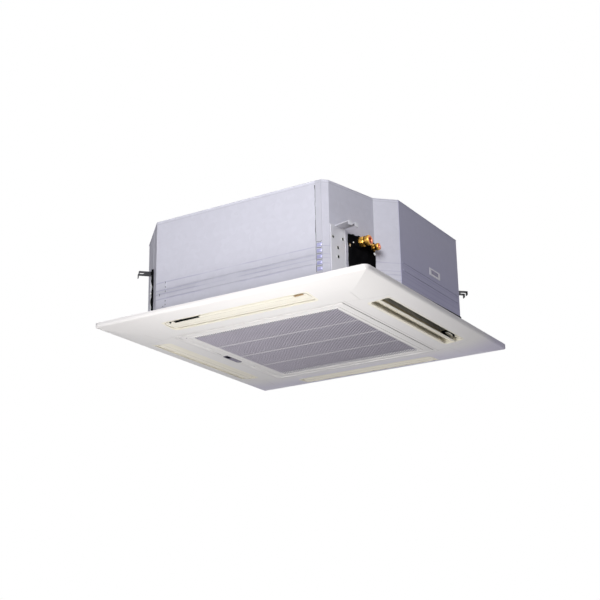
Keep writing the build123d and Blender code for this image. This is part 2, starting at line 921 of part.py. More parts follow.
def drain_pan():
    """Foam drain pan with trough, four air slots, screw holes and the square intake."""
    pan = outline(sheet + 0.2, body_bottom, pan_top)
    low_half = coil_inner - 22
    pan -= block(-low_half, low_half, -low_half, low_half, body_bottom - 1, pan_top + 1)
    ridge = coil_inner - 8
    pan -= rounded_square(ridge, ridge_radius, bell_height(), pan_top + 1)
    trough = rounded_square(coil_outer + 8, coil_corner_radius, body_bottom + pan_floor, pan_top + 1)
    pan -= trough - rounded_square(ridge, ridge_radius, 0, pan_top + 2)
    pan -= sumps()
    for angle in sides.values():
        slot = block(duct_inner, duct_outer, -mouth_half, mouth_half, body_bottom - 1, pan_top + 1)
        if angle == sides["right"]:
            slot = slot & block(0, body_width, notch_right_y(), body_half, 0, pan_top + 2)
        pan -= turned(slot, angle)
    for sign_x in (-1, 1):
        for sign_y in (-1, 1):
            x = sign_x * lug_centre()
            y = sign_y * lug_centre()
            pan -= post(2.5 + screw_clearance, x, y, body_bottom - 1, body_bottom + 21)
    return pan


def bell_height():
    """Height of the bell mouth's underside."""
    return pan_top - 9


# ---------------------------------------------------------------- fan


def bell_mouth():
    """Intake plate with a flared throat that reaches into the impeller's eye."""
    base = bell_height()
    outer = coil_inner - 8 - fit_gap
    flare_r = throat_radius + flare_radius
    plate = rounded_square(outer, ridge_radius, base, base + bell_wall)
    plate -= post(flare_r, 0, 0, base - 1, base + bell_wall + 1)
    centre_z = base + flare_radius
    edges = [
        ThreePointArc(
            (flare_r, 0, base),
            (flare_r - flare_radius * sin(radians(45)), 0, centre_z - flare_radius * cos(radians(45))),
            (throat_radius, 0, centre_z),
        ),
        Line((throat_radius, 0, centre_z), (throat_radius, 0, centre_z + 6)),
        Line((throat_radius, 0, centre_z + 6), (throat_radius + bell_wall, 0, centre_z + 6)),
        Line((throat_radius + bell_wall, 0, centre_z + 6), (throat_radius + bell_wall, 0, centre_z)),
        ThreePointArc(
            (throat_radius + bell_wall, 0, centre_z),
            (
                flare_r - (flare_radius - bell_wall) * sin(radians(45)),
                0,
                centre_z - (flare_radius - bell_wall) * cos(radians(45)),
            ),
            (flare_r, 0, base + bell_wall),
        ),
        Line((flare_r, 0, base + bell_wall), (flare_r, 0, base)),
    ]
    return plate + revolve(make_face(edges), Axis.Z, 360)


def shroud_outline(thickness):
    """Cross-section of the impeller's shroud, moved outwards by thickness."""
    inlet = throat_radius + bell_wall + shroud_gap
    return [
        (inlet + thickness, impeller_bottom),
        (inlet + thickness, impeller_bottom + 14 - thickness * 0.4),
        (inlet + 16, impeller_bottom + 38 - thickness),
        (impeller_radius - 22, impeller_bottom + 58 - thickness),
        (impeller_radius, impeller_bottom + 66 - thickness),
    ]


def blade(angle):
    """One backward-curved blade, before it is trimmed to the shroud and hub."""
    tip = impeller_radius - 1
    lean = radians(38)
    start = (blade_inner_radius, 0, 0)
    end = (tip * cos(lean), tip * sin(lean), 0)
    middle = ((start[0] + end[0]) / 2 + 12, (start[1] + end[1]) / 2 - 14, 0)
    path = ThreePointArc(start, middle, end)
    strip = trace(path, blade_thickness)
    return Rot(0, 0, angle) * Pos(0, 0, impeller_bottom) * extrude(
        strip, impeller_top - impeller_bottom - impeller_wall + 0.5, dir=(0, 0, 1)
    )


def impeller():
    """Shroud, blades and hub disc with a cup round the motor."""
    lower = shroud_outline(impeller_wall)
    upper = list(reversed(shroud_outline(0)))
    shroud = spun(lower + upper)
    top = impeller_top
    cup = top - hub_cup_depth
    wall = impeller_wall
    hub = spun(
        [
            (fan_shaft_radius, cup - 12),
            (18, cup - 12),
            (18, cup - wall),
            (hub_cup_radius - 8 + wall, cup - wall),
            (hub_cup_radius + 20 + wall, top - wall),
            (impeller_radius, top - wall),
            (impeller_radius, top),
            (hub_cup_radius + 20, top),
            (hub_cup_radius - 8, cup),
            (18, cup),
            (18, cup + 6),
            (fan_shaft_radius, cup + 6),
        ]
    )
    keep = spun(
        [
            (blade_inner_radius - 15, impeller_bottom + 30),
            (throat_radius + bell_wall + shroud_gap, impeller_bottom + 14),
        ]
        + shroud_outline(0.6)[1:]
        + [(impeller_radius, top - 1), (hub_cup_radius + 24, top - 1), (hub_cup_radius + 12, cup + 16)]
    )
    wheel = shroud + hub + fan_shaft()
    for index in range(blade_count):
        wheel += blade(360 * index / blade_count) & keep
    return wheel


def fan_shaft():
    """Shaft from inside the motor down through the hub."""
    cup = impeller_top - hub_cup_depth
    shaft = post(fan_shaft_radius, 0, 0, cup - 26, cup + 6)
    return shaft + post(fan_shaft_radius - 0.5, 0, 0, cup + 6, cup + 60)


def shaft_nut():
    """Hexagon nut with a washer face that holds the hub on the shaft."""
    top = impeller_top - hub_cup_depth - 12
    nut = Pos(0, 0, top - 10) * extrude(RegularPolygon(11, 6), 10, dir=(0, 0, 1))
    return nut - post(fan_shaft_radius + running, 0, 0, top - 11, top + 1)


def motor_bottom():
    """Height of the fan motor's lower face."""
    return plate_top - 10 - fan_motor_height


def fan_motor():
    """Motor can with end caps, a bearing bore and three feet."""
    low = motor_bottom()
    high = plate_top - 10
    can = post(fan_motor_radius, 0, 0, low + 14, high)
    can += post(fan_motor_radius - 18, 0, 0, low, low + 14)
    for index in range(3):
        angle = radians(120 * index + 30)
        x = motor_mount_circle * cos(angle)
        y = motor_mount_circle * sin(angle)
        can -= post(3.2, x, y, high - 12, high + 1)
    return can - post(fan_shaft_radius - 0.5 + running, 0, 0, low - 1, low + 62)


def motor_mounts():
    """Three rubber mounts between the motor and the lid."""
    mounts = []
    for index in range(3):
        angle = radians(120 * index + 30)
        x = motor_mount_circle * cos(angle)
        y = motor_mount_circle * sin(angle)
        mounts.append(post(motor_mount_radius, x, y, plate_top - 10, plate_top))
    return Compound(mounts)


# ---------------------------------------------------------------- coil and pipes


def coil_band(half_out, half_in, z0, z1):
    """Bent coil body, open at the pipe corner."""
    band = rounded_square(half_out, coil_corner_radius, z0, z1)
    band -= rounded_square(half_in, coil_corner_radius - coil_thickness + 4, z0 - 1, z1 + 1)
    return band - block(coil_end_x, body_half, -body_half, coil_end_y, z0 - 1, z1 + 1)


def coil_fins():
    """Finned body of the coil."""
    return coil_band(coil_outer, coil_inner, coil_bottom, coil_bottom + coil_height)


def coil_plates():
    """Tube sheets on the two ends of the coil."""
    inner = coil_inner
    z0 = coil_bottom
    z1 = coil_bottom + coil_height
    right = block(inner, coil_outer, coil_end_y - end_plate, coil_end_y, z0, z1)
    front = block(coil_end_x, coil_end_x + end_plate, -coil_outer, -inner, z0, z1)
    return Compound([right, front])


def return_bend():
    """One half-turn tube end, standing on its tube sheet and opening towards +X."""
    ring = Torus(bend_radius, bend_tube_radius)
    half = ring & block(0, 40, -40, 40, -20, 20)
    return Rot(90, 0, 0) * half


def coil_tubes():
    """Rows of return bends on both tube sheets; those in the way of the entering pipe are left out."""
    bends = []
    pitch = coil_height / bend_count
    middle = coil_outer - coil_thickness / 2
    sheets = (
        (gas_pipe_height, gas_pipe_radius, Pos(coil_end_x + end_plate, -middle, 0)),
        (liquid_pipe_height, liquid_pipe_radius, Pos(middle, coil_end_y - end_plate, 0) * Rot(0, 0, -90)),
    )
    for pipe_height, pipe_radius, place in sheets:
        room = bend_radius + bend_tube_radius + pipe_radius
        for index in range(bend_count):
            z = coil_bottom + (index + 0.5) * pitch
            if abs(z - pipe_height) > room:
                bends.append(place * Pos(0, 0, z) * return_bend())
    return Compound(bends)


def notch_x(y):
    """X of the notch face that carries the pipes, at a given Y."""
    share = (y - notch_lip_y) / (notch_valley_y - notch_lip_y)
    return notch_lip_x + share * (notch_valley_x - notch_lip_x)


def notch_angle():
    """Outward direction of that face, in degrees."""
    return degrees(atan2(-(notch_valley_x - notch_lip_x), notch_valley_y - notch_lip_y))


def pipe_rows():
    """Place and radius of the two pipes."""
    return [
        (gas_pipe_y, gas_pipe_height, gas_pipe_radius),
        (liquid_pipe_y, liquid_pipe_height, liquid_pipe_radius),
    ]


def pipe_face():
    """Middle of the pipe plate on the notch face, with its direction."""
    y = (gas_pipe_y + liquid_pipe_y) / 2 - 6
    return notch_x(y), y, notch_angle()


def pipe_seat():
    """Window in the notch plate behind the pipe plate."""
    half = pipe_plate_half - 10
    z0 = pipe_plate_bottom + 10
    return block(-5, 5, -half, half, z0, z0 + pipe_plate_height - 20)


def pipe_end(y):
    """X where the pipe's outer end and the inner face of its nut lie."""
    return notch_x(y) + collar_length


def bent_pipe(points, radius, direction):
    """Hollow pipe along a path whose corners are rounded."""
    bend = max(radius * 1.6, 10.0)
    path = FilletPolyline(*points, radius=bend)
    start = Plane(origin=points[0], z_dir=direction)
    outer = sweep(start * Circle(radius), path=path)
    return outer - sweep(start * Circle(radius - pipe_wall), path=path)


def gas_pipe():
    """Suction pipe, from the front tube sheet out through the notch face."""
    start_x = coil_end_x + end_plate
    start_y = -(coil_outer - coil_thickness / 2)
    z = gas_pipe_height
    bend_x = start_x + 26
    points = [
        (start_x, start_y, z),
        (bend_x, start_y, z),
        (bend_x + 26, gas_pipe_y, z),
        (pipe_end(gas_pipe_y), gas_pipe_y, z),
    ]
    return bent_pipe(points, gas_pipe_radius, (1, 0, 0))


def liquid_pipe():
    """Liquid pipe, from the right tube sheet out through the notch face."""
    start_x = coil_outer - coil_thickness / 2
    z = liquid_pipe_height
    points = [
        (start_x, coil_end_y - end_plate, z),
        (start_x, liquid_pipe_y, z),
        (pipe_end(liquid_pipe_y), liquid_pipe_y, z),
    ]
    return bent_pipe(points, liquid_pipe_radius, (0, -1, 0))


def flare_nut(y, z, radius, length, width):
    """Hexagon nut with a round nose, against the collar; its bore takes the site pipe."""
    x = pipe_end(y)
    nut = Pos(x, y, z) * Rot(0, 90, 0) * extrude(RegularPolygon(width / 2, 6), length * 0.55)
    nose = Pos(x + length * 0.55, y, z) * Rot(0, 90, 0) * Cylinder(
        width / 2 - 3, length * 0.45, align=(Align.CENTER, Align.CENTER, Align.MIN)
    )
    bore = Pos(x - 1, y, z) * Rot(0, 90, 0) * Cylinder(
        radius + nut_clearance, length + 2, align=(Align.CENTER, Align.CENTER, Align.MIN)
    )
    return nut + nose - bore


def flare_nuts():
    """Gas nut and liquid nut."""
    gas = flare_nut(gas_pipe_y, gas_pipe_height, gas_pipe_radius, gas_nut_length, gas_nut_width)
    liquid = flare_nut(
        liquid_pipe_y, liquid_pipe_height, liquid_pipe_radius, liquid_nut_length, liquid_nut_width
    )
    return Compound([gas, liquid])


def pipe_plate():
    """Black cover on the notch face with a collar round each pipe."""
    half = pipe_plate_half
    z0 = pipe_plate_bottom
    plate = block(0, pipe_plate_thickness, -half, half, z0, z0 + pipe_plate_height)
    front = block(0, body_half, -half, half, z0, z0 + pipe_plate_height)
    plate = on_face(plate, *pipe_face())
    front = on_face(front, *pipe_face())
    along = (Align.CENTER, Align.CENTER, Align.MIN)
    for y, z, radius in pipe_rows():
        sleeve = Cylinder(radius + 10, collar_length + 20, align=along)
        plate += Pos(notch_x(y) - 20, y, z) * Rot(0, 90, 0) * sleeve & front
    for y, z, radius in pipe_rows():
        plate -= Pos(notch_x(y), y, z) * Rot(0, 90, 0) * Cylinder(radius + sleeve_gap, 90)
    for across in (4 - half, half - 4):
        hole = Pos(0, across, pipe_screw_height) * Rot(0, 90, 0) * Cylinder(2.0 + screw_clearance, 20)
        plate -= on_face(hole, *pipe_face())
    return plate


# ---------------------------------------------------------------- hangers


def slot_reach(x, y, angle):
    """Distance from a wall point to the slot centre on the hanger pitch, along the wall's direction."""
    half = hanger_pitch / 2
    sign_x = 1 if x > 0 else -1
    sign_y = 1 if y > 0 else -1
    return (sign_x * half - x) * cos(radians(angle)) + (sign_y * half - y) * sin(radians(angle))


def hanger_faces():
    """Wall point and outward direction of each hanger, in the order of hanger_names."""
    half = hanger_pitch / 2
    middle = body_half - corner_cut / 2
    far = body_half - far_corner_cut / 2
    angle = notch_angle()
    ux = cos(radians(angle))
    uy = sin(radians(angle))
    share = (notch_lip_x - half) * ux + (notch_lip_y + half) * uy
    return [
        (-middle, -middle, 225),
        (half + share * ux, -half + share * uy, angle),
        (far, far, 45),
        (-middle, middle, 135),
    ]


hanger_names = ("hanger_front_left", "hanger_front_right", "hanger_back_right", "hanger_back_left")
pipe_side_hanger = hanger_names[1]


def hanger_plate_edges(name):
    """How far the screwed plate reaches to both sides of the slot."""
    if name == pipe_side_hanger:
        return pipe_hanger_left, pipe_hanger_right
    return hanger_plate_width / 2, hanger_plate_width / 2


def hanger(name, x, y, angle):
    """Folded bracket: screwed plate, arm with an open slot and turned-down tips."""
    end = slot_reach(x, y, angle) + hanger_tip
    left, right = hanger_plate_edges(name)
    top = hanger_height
    plate = block(0, hanger_sheet, -left, right, top - hanger_plate_height, top + hanger_sheet)
    arm_half = hanger_slot_width / 2 + hanger_prong_width
    arm = block(0, end, -arm_half, arm_half, top, top + hanger_sheet)
    lip = block(end - hanger_sheet, end, -arm_half, arm_half, top - hanger_lip, top + hanger_sheet)
    bracket = plate + arm + lip
    slot = hanger_slot_width / 2
    reach = end - hanger_tip
    bracket -= block(reach, end + 1, -slot, slot, top - hanger_lip - 1, top + hanger_sheet + 1)
    bracket -= post(slot, reach, 0, top - 1, top + hanger_sheet + 1)
    for across, down, radius in hanger_holes(name):
        bracket -= Pos(0, across, top - down) * Rot(0, 90, 0) * Cylinder(radius, 20)
    return on_face(bracket, x, y, angle)


def hanger_holes(name):
    """Holes in the hanger's plate, as distance across, below the arm, and radius."""
    if name == pipe_side_hanger:
        return pipe_hanger_holes
    return plain_hanger_holes


# ---------------------------------------------------------------- drain


def pump_place():
    """Plan position of the drain pump, in the back left corner and beside the hanger there."""
    return -(pump_reach + pump_side) / sqrt(2), (pump_reach - pump_side) / sqrt(2)


def float_place():
    """Plan position of the float beside the pump."""
    return -mouth_half - 40, coil_outer + 30


def at_pump(solid):
    """Moves a piece built along +X to the pump, pointing out through the corner."""
    x, y = pump_place()
    return Pos(x, y, 0) * Rot(0, 0, 135) * solid


def drain_pump():
    """Pump with feet, riser and elbow, and the stem of the float switch on a bracket."""
    x, y = pump_place()
    low = body_bottom + pan_floor
    body = post(pump_radius, 0, 0, low + 6, low + pump_height)
    for index in range(3):
        angle = radians(120 * index)
        body += post(3, 14 * cos(angle), 14 * sin(angle), low, low + 7)
    body -= post(pump_radius - 7, 0, 0, low, low + 20)
    body += post(11, 0, 0, low + pump_height - 1, spout_height + 12)
    elbow = spout_radius + 2
    body += block(-elbow, pump_elbow, -elbow, elbow, spout_height - elbow, spout_height + elbow)
    body -= post(1.5 + running, 0, 0, low, low + 32)
    pump = at_pump(body)
    stem_x, stem_y = float_place()
    stem = post(3, stem_x, stem_y, low, low + float_stem_height)
    stem += post(7, stem_x, stem_y, low, low + 3)
    stem += post(7, stem_x, stem_y, low + float_stem_height - 16, low + float_stem_height)
    run = hypot(stem_x - x, stem_y - y)
    direction = degrees(atan2(stem_y - y, stem_x - x))
    bar = block(pump_radius - 3, run, -4, 4, low + float_stem_height - 16, low + float_stem_height - 8)
    return pump + stem + Pos(x, y, 0) * Rot(0, 0, direction) * bar


def spout_wall_reach():
    """Distance from the pump's axis to the casing's corner face."""
    return (body_half - corner_cut / 2) * sqrt(2) - pump_reach


def spout_part(radius, start, end):
    """Cylinder along the spout's axis between two distances from the pump."""
    along = (Align.CENTER, Align.CENTER, Align.MIN)
    return at_pump(Pos(start, 0, spout_height) * Rot(0, 90, 0) * Cylinder(radius, end - start, align=along))


def spout_hole():
    """Round way through lining and plate for the spout's neck."""
    return spout_part(spout_neck_radius + fit_gap, pump_elbow, spout_wall_reach() + 20)


def drain_spout():
    """Drain pipe stub: a neck through the casing and a wider end that takes the hose."""
    wall = spout_wall_reach()
    end = wall + spout_length
    tube = spout_part(spout_neck_radius, pump_elbow, wall + 1) + spout_part(spout_radius, wall, end)
    return tube - spout_part(spout_neck_radius - spout_wall, pump_elbow + 2, end + 1)


def pump_impeller():
    """Small four-vane wheel in the pump's foot."""
    low = body_bottom + pan_floor + 8
    wheel = post(3, 0, 0, low, low + 10)
    for index in range(2):
        wheel += Pos(0, 0, low + 5) * Rot(0, 0, 90 * index) * Box(18, 1.6, 9)
    return at_pump(wheel + post(1.5, 0, 0, low + 10, low + 23))


def float_ring():
    """Float that slides up its stem."""
    x, y = float_place()
    low = body_bottom + pan_floor + 3
    return post(float_radius, x, y, low, low + 18) - post(3 + slide_gap, x, y, low - 1, low + 19)


# ---------------------------------------------------------------- electric box


def box_extent():
    """Corners of the electric box: front, back, bottom, top."""
    y0 = 28 - coil_inner
    top = bell_height()
    return y0, y0 + box_depth, top - box_height, top


def electric_box():
    """Open-bottomed steel box under the bell mouth."""
    y0, y1, z0, z1 = box_extent()
    shell = block(box_x0, box_x1, y0, y1, z0, z1)
    wall = box_wall
    return shell - block(box_x0 + wall, box_x1 - wall, y0 + wall, y1 - wall, z0 - 1, z1 - wall)


def electric_cover():
    """Flat lid that closes the box from below."""
    y0, y1, z0, z1 = box_extent()
    return block(box_x0, box_x1, y0, y1, z0 - sheet, z0)


def circuit_board():
    """Control board on standoffs inside the box, with the larger parts on its underside."""
    y0, y1, z0, z1 = box_extent()
    low = z1 - board_drop
    high = low + board_thickness
    start = box_x0 + board_margin + box_wall
    board = block(start, board_end, y0 + board_margin, y1 - board_margin, low, high)
    for x in (start + 6, board_end - 6):
        for y in (y0 + board_margin + 5, y1 - board_margin - 5):
            board += post(3, x, y, high, z1 - box_wall)
    part_y = y0 + board_parts_inset
    for x, size in board_parts:
        board += block(x - size / 2, x + size / 2, part_y, part_y + size, low - size * 0.7, low + 0.5)
    return board


def terminal_block():
    """Terminal strip on the box's roof."""
    y0, y1, z0, z1 = box_extent()
    low = z1 - box_wall - terminal_height
    back = y0 + 14
    end = terminal_start + terminal_count * terminal_pitch
    strip = block(terminal_start, end, back, back + terminal_depth, low, z1 - box_wall)
    for index in range(terminal_count):
        x = terminal_start + (index + 0.5) * terminal_pitch
        strip -= block(x - 4.5, x + 4.5, back + 4, back + terminal_depth - 4, low - 1, low + 6)
    return strip


# ---------------------------------------------------------------- seals and screws


def panel_gasket():
    """Black foam strip under the foot of the casing."""
    low = body_bottom - gasket_height
    strip = outline(0.5, low, body_bottom) - outline(gasket_width, low - 1, body_bottom + 1)
    for angle in sides.values():
        strip -= turned(outlet_outer(slide_gap), angle)
    return strip


def nameplate():
    """Small bare plate on the right side."""
    return block(body_half, body_half + 0.8, 29, 103, 156, 180)


def screw(radius, head_radius, length):
    """Screw built with its head on the origin, pointing -X into the wall."""
    head = Rot(0, 90, 0) * Cylinder(head_radius, 3, align=(Align.CENTER, Align.CENTER, Align.MIN))
    shank = Rot(0, 90, 0) * Cylinder(radius, length, align=(Align.CENTER, Align.CENTER, Align.MAX))
    return head + shank


def fixing_screws():
    """Screws of the three plain hangers and of the pipe plate."""
    screws = []
    shank = 3.0
    for name, place in zip(hanger_names, hanger_faces()):
        if name != pipe_side_hanger:
            for across, down, radius in plain_hanger_holes[2:]:
                one = Pos(hanger_sheet, across, hanger_height - down) * screw(radius - 0.5, radius + 2.5, shank)
                screws.append(on_face(one, *place))
    for across in (4 - pipe_plate_half, pipe_plate_half - 4):
        one = Pos(pipe_plate_thickness, across, pipe_screw_height) * screw(2.0, 4.5, shank)
        screws.append(on_face(one, *pipe_face()))
    return Compound(screws)


def panel_screws():
    """Four screws from the panel's lugs up into the pan."""
    screws = []
    low = opening_wall_height - 10
    for sign_x in (-1, 1):
        for sign_y in (-1, 1):
            x = sign_x * lug_centre()
            y = sign_y * lug_centre()
            screws.append(post(6, x, y, low - 3.5, low) + post(2.5, x, y, low - 1, body_bottom + 20))
    return Compound(screws)


# ---------------------------------------------------------------- writing


def write_panel():
    """Panel pieces."""
    save(panel_frame(), "panel_frame")
    plain = outlet_frame(False)
    notched = outlet_frame(True)
    motor = louvre_motor()
    for side, angle in sides.items():
        flap = louvre(louvre_rest_angles[side])
        save(turned(notched if side == "right" else plain, angle), f"outlet_frame_{side}")
        if side == "right":
            save(mirror(flap, Plane.XZ), "louvre_right")
            save(mirror(motor, Plane.XZ), "louvre_motor_right")
        else:
            save(turned(flap, angle), f"louvre_{side}")
            save(turned(motor, angle), f"louvre_motor_{side}")
    save(louvre_bushes(), "louvre_bushes")
    save(intake_grille(), "intake_grille")
    save(filter_frame(), "filter_frame")
    save(filter_mesh(), "filter_mesh")
    save(grille_latch(-latch_spacing / 2), "grille_latch_front")
    save(grille_latch(latch_spacing / 2), "grille_latch_back")
    save(hinge_pins(), "hinge_pins")
    save(receiver_housing(), "receiver_housing")
    save(receiver_window(), "receiver_window")
    save(receiver_board(), "receiver_board")
    save(manual_button(), "manual_button")
    save(panel_gasket(), "panel_gasket")
    save(panel_screws(), "panel_screws")


def write_casing():
    """Casing, lining and pan."""
    wall = casing()
    wall -= spout_hole()
    for name, points in plate_sectors().items():
        save(wall & sector(points), f"{name}_plate")
    save(top_plate(), "top_plate")
    save(wall_liner(), "wall_liner")
    save(drain_pan(), "drain_pan")
    save(nameplate(), "nameplate")
    for name, place in zip(hanger_names, hanger_faces()):
        save(hanger(name, *place), name)
    save(fixing_screws(), "fixing_screws")


def write_fan():
    """Fan, its motor and the bell mouth."""
    save(bell_mouth(), "bell_mouth")
    save(impeller(), "impeller")
    save(shaft_nut(), "impeller_nut")
    save(fan_motor(), "fan_motor")
    save(motor_mounts(), "motor_mounts")


def write_cooling():
    """Coil, pipes, drain and electrics."""
    save(coil_fins(), "coil_fins")
    save(coil_plates(), "coil_plates")
    save(coil_tubes(), "coil_tubes")
    save(gas_pipe(), "gas_pipe")
    save(liquid_pipe(), "liquid_pipe")
    save(flare_nuts(), "flare_nuts")
    save(pipe_plate(), "pipe_plate")
    save(drain_pump(), "drain_pump")
    save(pump_impeller(), "pump_impeller")
    save(drain_spout(), "drain_spout")
    save(float_ring(), "float")
    save(electric_box(), "electric_box")
    save(electric_cover(), "electric_cover")
    save(circuit_board(), "circuit_board")
    save(terminal_block(), "terminal_block")


os.makedirs("parts", exist_ok=True)
write_panel()
write_casing()
write_fan()
write_cooling()
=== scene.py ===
"""Looks of a ceiling cassette air conditioner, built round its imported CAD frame."""

import json
import math

import bmesh
import bpy
import numpy as np
from bpy.props import FloatProperty, FloatVectorProperty, PointerProperty
from mathutils import Matrix, Vector


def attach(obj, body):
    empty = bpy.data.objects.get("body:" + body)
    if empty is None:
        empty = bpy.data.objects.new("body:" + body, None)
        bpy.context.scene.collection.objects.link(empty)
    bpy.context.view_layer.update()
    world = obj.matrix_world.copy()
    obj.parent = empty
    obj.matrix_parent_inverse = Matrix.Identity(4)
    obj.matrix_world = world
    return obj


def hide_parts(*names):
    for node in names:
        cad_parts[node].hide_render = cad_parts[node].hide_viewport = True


bl_info = {
    "name": "Ceiling cassette looks",
    "version": (1, 0, 0),
    "blender": (4, 5, 0),
    "location": "3D View > Sidebar > Cassette",
    "description": "Surfaces, finishes and studio of a ceiling cassette air conditioner",
    "category": "Object",
}

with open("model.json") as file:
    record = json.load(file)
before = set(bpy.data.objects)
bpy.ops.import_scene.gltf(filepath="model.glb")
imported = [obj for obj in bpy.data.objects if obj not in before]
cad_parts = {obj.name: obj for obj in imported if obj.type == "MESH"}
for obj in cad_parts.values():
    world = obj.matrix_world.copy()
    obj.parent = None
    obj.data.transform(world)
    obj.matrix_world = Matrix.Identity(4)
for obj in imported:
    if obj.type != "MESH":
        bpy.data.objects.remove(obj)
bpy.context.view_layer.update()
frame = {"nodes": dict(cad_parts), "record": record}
NODES = frame["nodes"]


# ---------------- sizes

MM = 0.001
# In millimetres from the middle of the panel's underside, as in the CAD; directions in degrees from +X.
HANG = 200.0  # the hanger arms, where the frame's origin lies
WALL = 420.0  # half width of the casing
SKIN = WALL + 1.3  # face of the details on the front plate
OUTLINE = np.array(
    [
        (-280, -420), (307, -420), (322, -404), (364, -216), (420, -160),
        (420, 240), (240, 420), (-280, 420), (-420, 280), (-420, -280),
    ],
    float,
)  # corners of the casing in plan
HEM_HEIGHT = 334.3
SEAM_X = 286.9
CRIMP_LEVELS = (66.0, 84.0, 102.0, 120.0, 138.0)
CRIMP_GAP = 9.0  # from a crimp's middle to the line above it
GRILLE_EDGE = 306.5  # seam between grille and panel
FIELD_HALF = 256.0  # the grille's field of slats
SLAT_COUNT = 69
RIB_ROWS = (-128.0, 0.0, 128.0)
CREASE_FORK = (351.0, 293.0)  # where the panel's creases part
SIDES = {"right": 0, "back": 90, "left": 180, "front": 270}
FLAP_ANGLES = {"right": 30.0, "back": 30.0, "left": 30.0, "front": 4.0}  # at rest
PIVOT_OUT, PIVOT_UP = 394.5, 40.0  # pivot of a flap
CROWN_START, CROWN_RADIUS = 350.0, 460.0  # arc of the underside of panel and flaps
FLAP_RECESS = 1.0
# Hanger plates and the pipe plate: x, y and the direction that they face
HANGERS = {
    "front_left": (-350.0, -350.0, 225.0),
    "front_right": (331.19, -362.88, -12.593),
    "back_right": (330.0, 330.0, 45.0),
    "back_left": (-350.0, 350.0, 135.0),
}
PIPE_FACE = (351.35, -274.0, -12.593)
# Holes of a hanger plate: across, down from the arm, radius
PLAIN_HOLES = ((-13.0, 35.0, 3.5), (13.0, 35.0, 3.5), (0.0, 64.0, 3.5), (0.0, 91.0, 3.5))
PIPE_HOLES = ((-30.0, 35.0, 4.5), (10.0, 33.0, 4.5), (-10.3, 64.0, 5.0), (-9.3, 91.0, 5.0))
# Flare nuts: centre of the back face, half width over flats, length, bore radius
GAS_NUT = ((358.8, -293.0, 172.0), 14.6, 34.0, 8.04)
LIQUID_NUT = ((369.97, -243.0, 168.0), 10.0, 24.0, 4.86)
# Bars of the right outlet's hook: knots in plan, radius at the root, radius at the tip
HOOK_BARS = (
    (
        ((388, 168), (395, 161), (403, 160), (408, 171), (409, 188), (407, 205), (402, 222), (398, 232)),
        7.0, 2.6,
    ),
    (((390, 166), (388, 186), (385, 206), (384, 228)), 5.6, 2.4),
)


# ---------------- shader expressions


class Sock:
    """A number from a socket; arithmetic on it adds Math nodes."""

    def __init__(self, owner, socket):
        self.owner = owner
        self.socket = socket

    def _math(self, operation, *values, clamp=False):
        made = self.owner.node("ShaderNodeMath", values, operation=operation, use_clamp=clamp)
        return Sock(self.owner, made.outputs[0])

    def __add__(self, other):
        return self._math("ADD", self, other)

    __radd__ = __add__

    def __sub__(self, other):
        return self._math("SUBTRACT", self, other)

    def __rsub__(self, other):
        return self._math("SUBTRACT", other, self)

    def __mul__(self, other):
        return self._math("MULTIPLY", self, other)

    def __truediv__(self, other):
        return self._math("DIVIDE", self, other)

    def __neg__(self):
        return self._math("MULTIPLY", self, -1.0)

    def __abs__(self):
        return self._math("ABSOLUTE", self)

    def over(self, other):
        """1 where this is larger than other."""
        return self._math("GREATER_THAN", self, other)

    def most(self, other):
        """The larger of the two."""
        return self._math("MAXIMUM", self, other)

    def root(self):
        return self._math("SQRT", self)

    def unit(self):
        """Held between 0 and 1."""
        return self._math("ADD", self, 0.0, clamp=True)

    def wrap(self, period):
        """Distance from the nearest multiple of period."""
        return self._math("PINGPONG", self, period / 2)

    def ramp(self, low, high):
        """0 below low, 1 above high, smooth between."""
        values = {"Value": self, "From Min": low, "From Max": high}
        made = self.owner.node("ShaderNodeMapRange", values, interpolation_type="SMOOTHSTEP")
        return Sock(self.owner, made.outputs[0])

    def line(self, thin, thick):
        """1 within thin of this number's zero, 0 beyond thick."""
        return 1.0 - abs(self).ramp(thin, thick)


class Tree:
    """A node tree, with one way to add its nodes."""

    def __init__(self, tree):
        self.tree = tree

    def node(self, kind, values=(), **settings):
        """Adds a node with its settings, and numbers or links in its sockets."""
        made = self.tree.nodes.new(kind)
        for key, value in settings.items():
            setattr(made, key, value)
        pairs = values.items() if isinstance(values, dict) else enumerate(values)
        for key, value in pairs:
            self.fill(made.inputs[key], value)
        return made

    def fill(self, socket, value):
        """Links another socket, or sets a constant; a colour of three numbers is opaque."""
        if isinstance(value, Sock):
            value = value.socket
        if isinstance(value, bpy.types.NodeSocket):
            self.tree.links.new(value, socket)
        elif socket.type == "RGBA" and len(value) == 3:
            socket.default_value = (*value, 1.0)
        else:
            socket.default_value = value

    def directly_seen(self):
        """1 on rays of the camera, in mirrors and through glass."""
        path = self.node("ShaderNodeLightPath")
        camera, glossy, glass = (
            Sock(self, path.outputs[f"Is {kind} Ray"]) for kind in ("Camera", "Glossy", "Transmission")
        )
        return camera.most(glossy).most(glass)


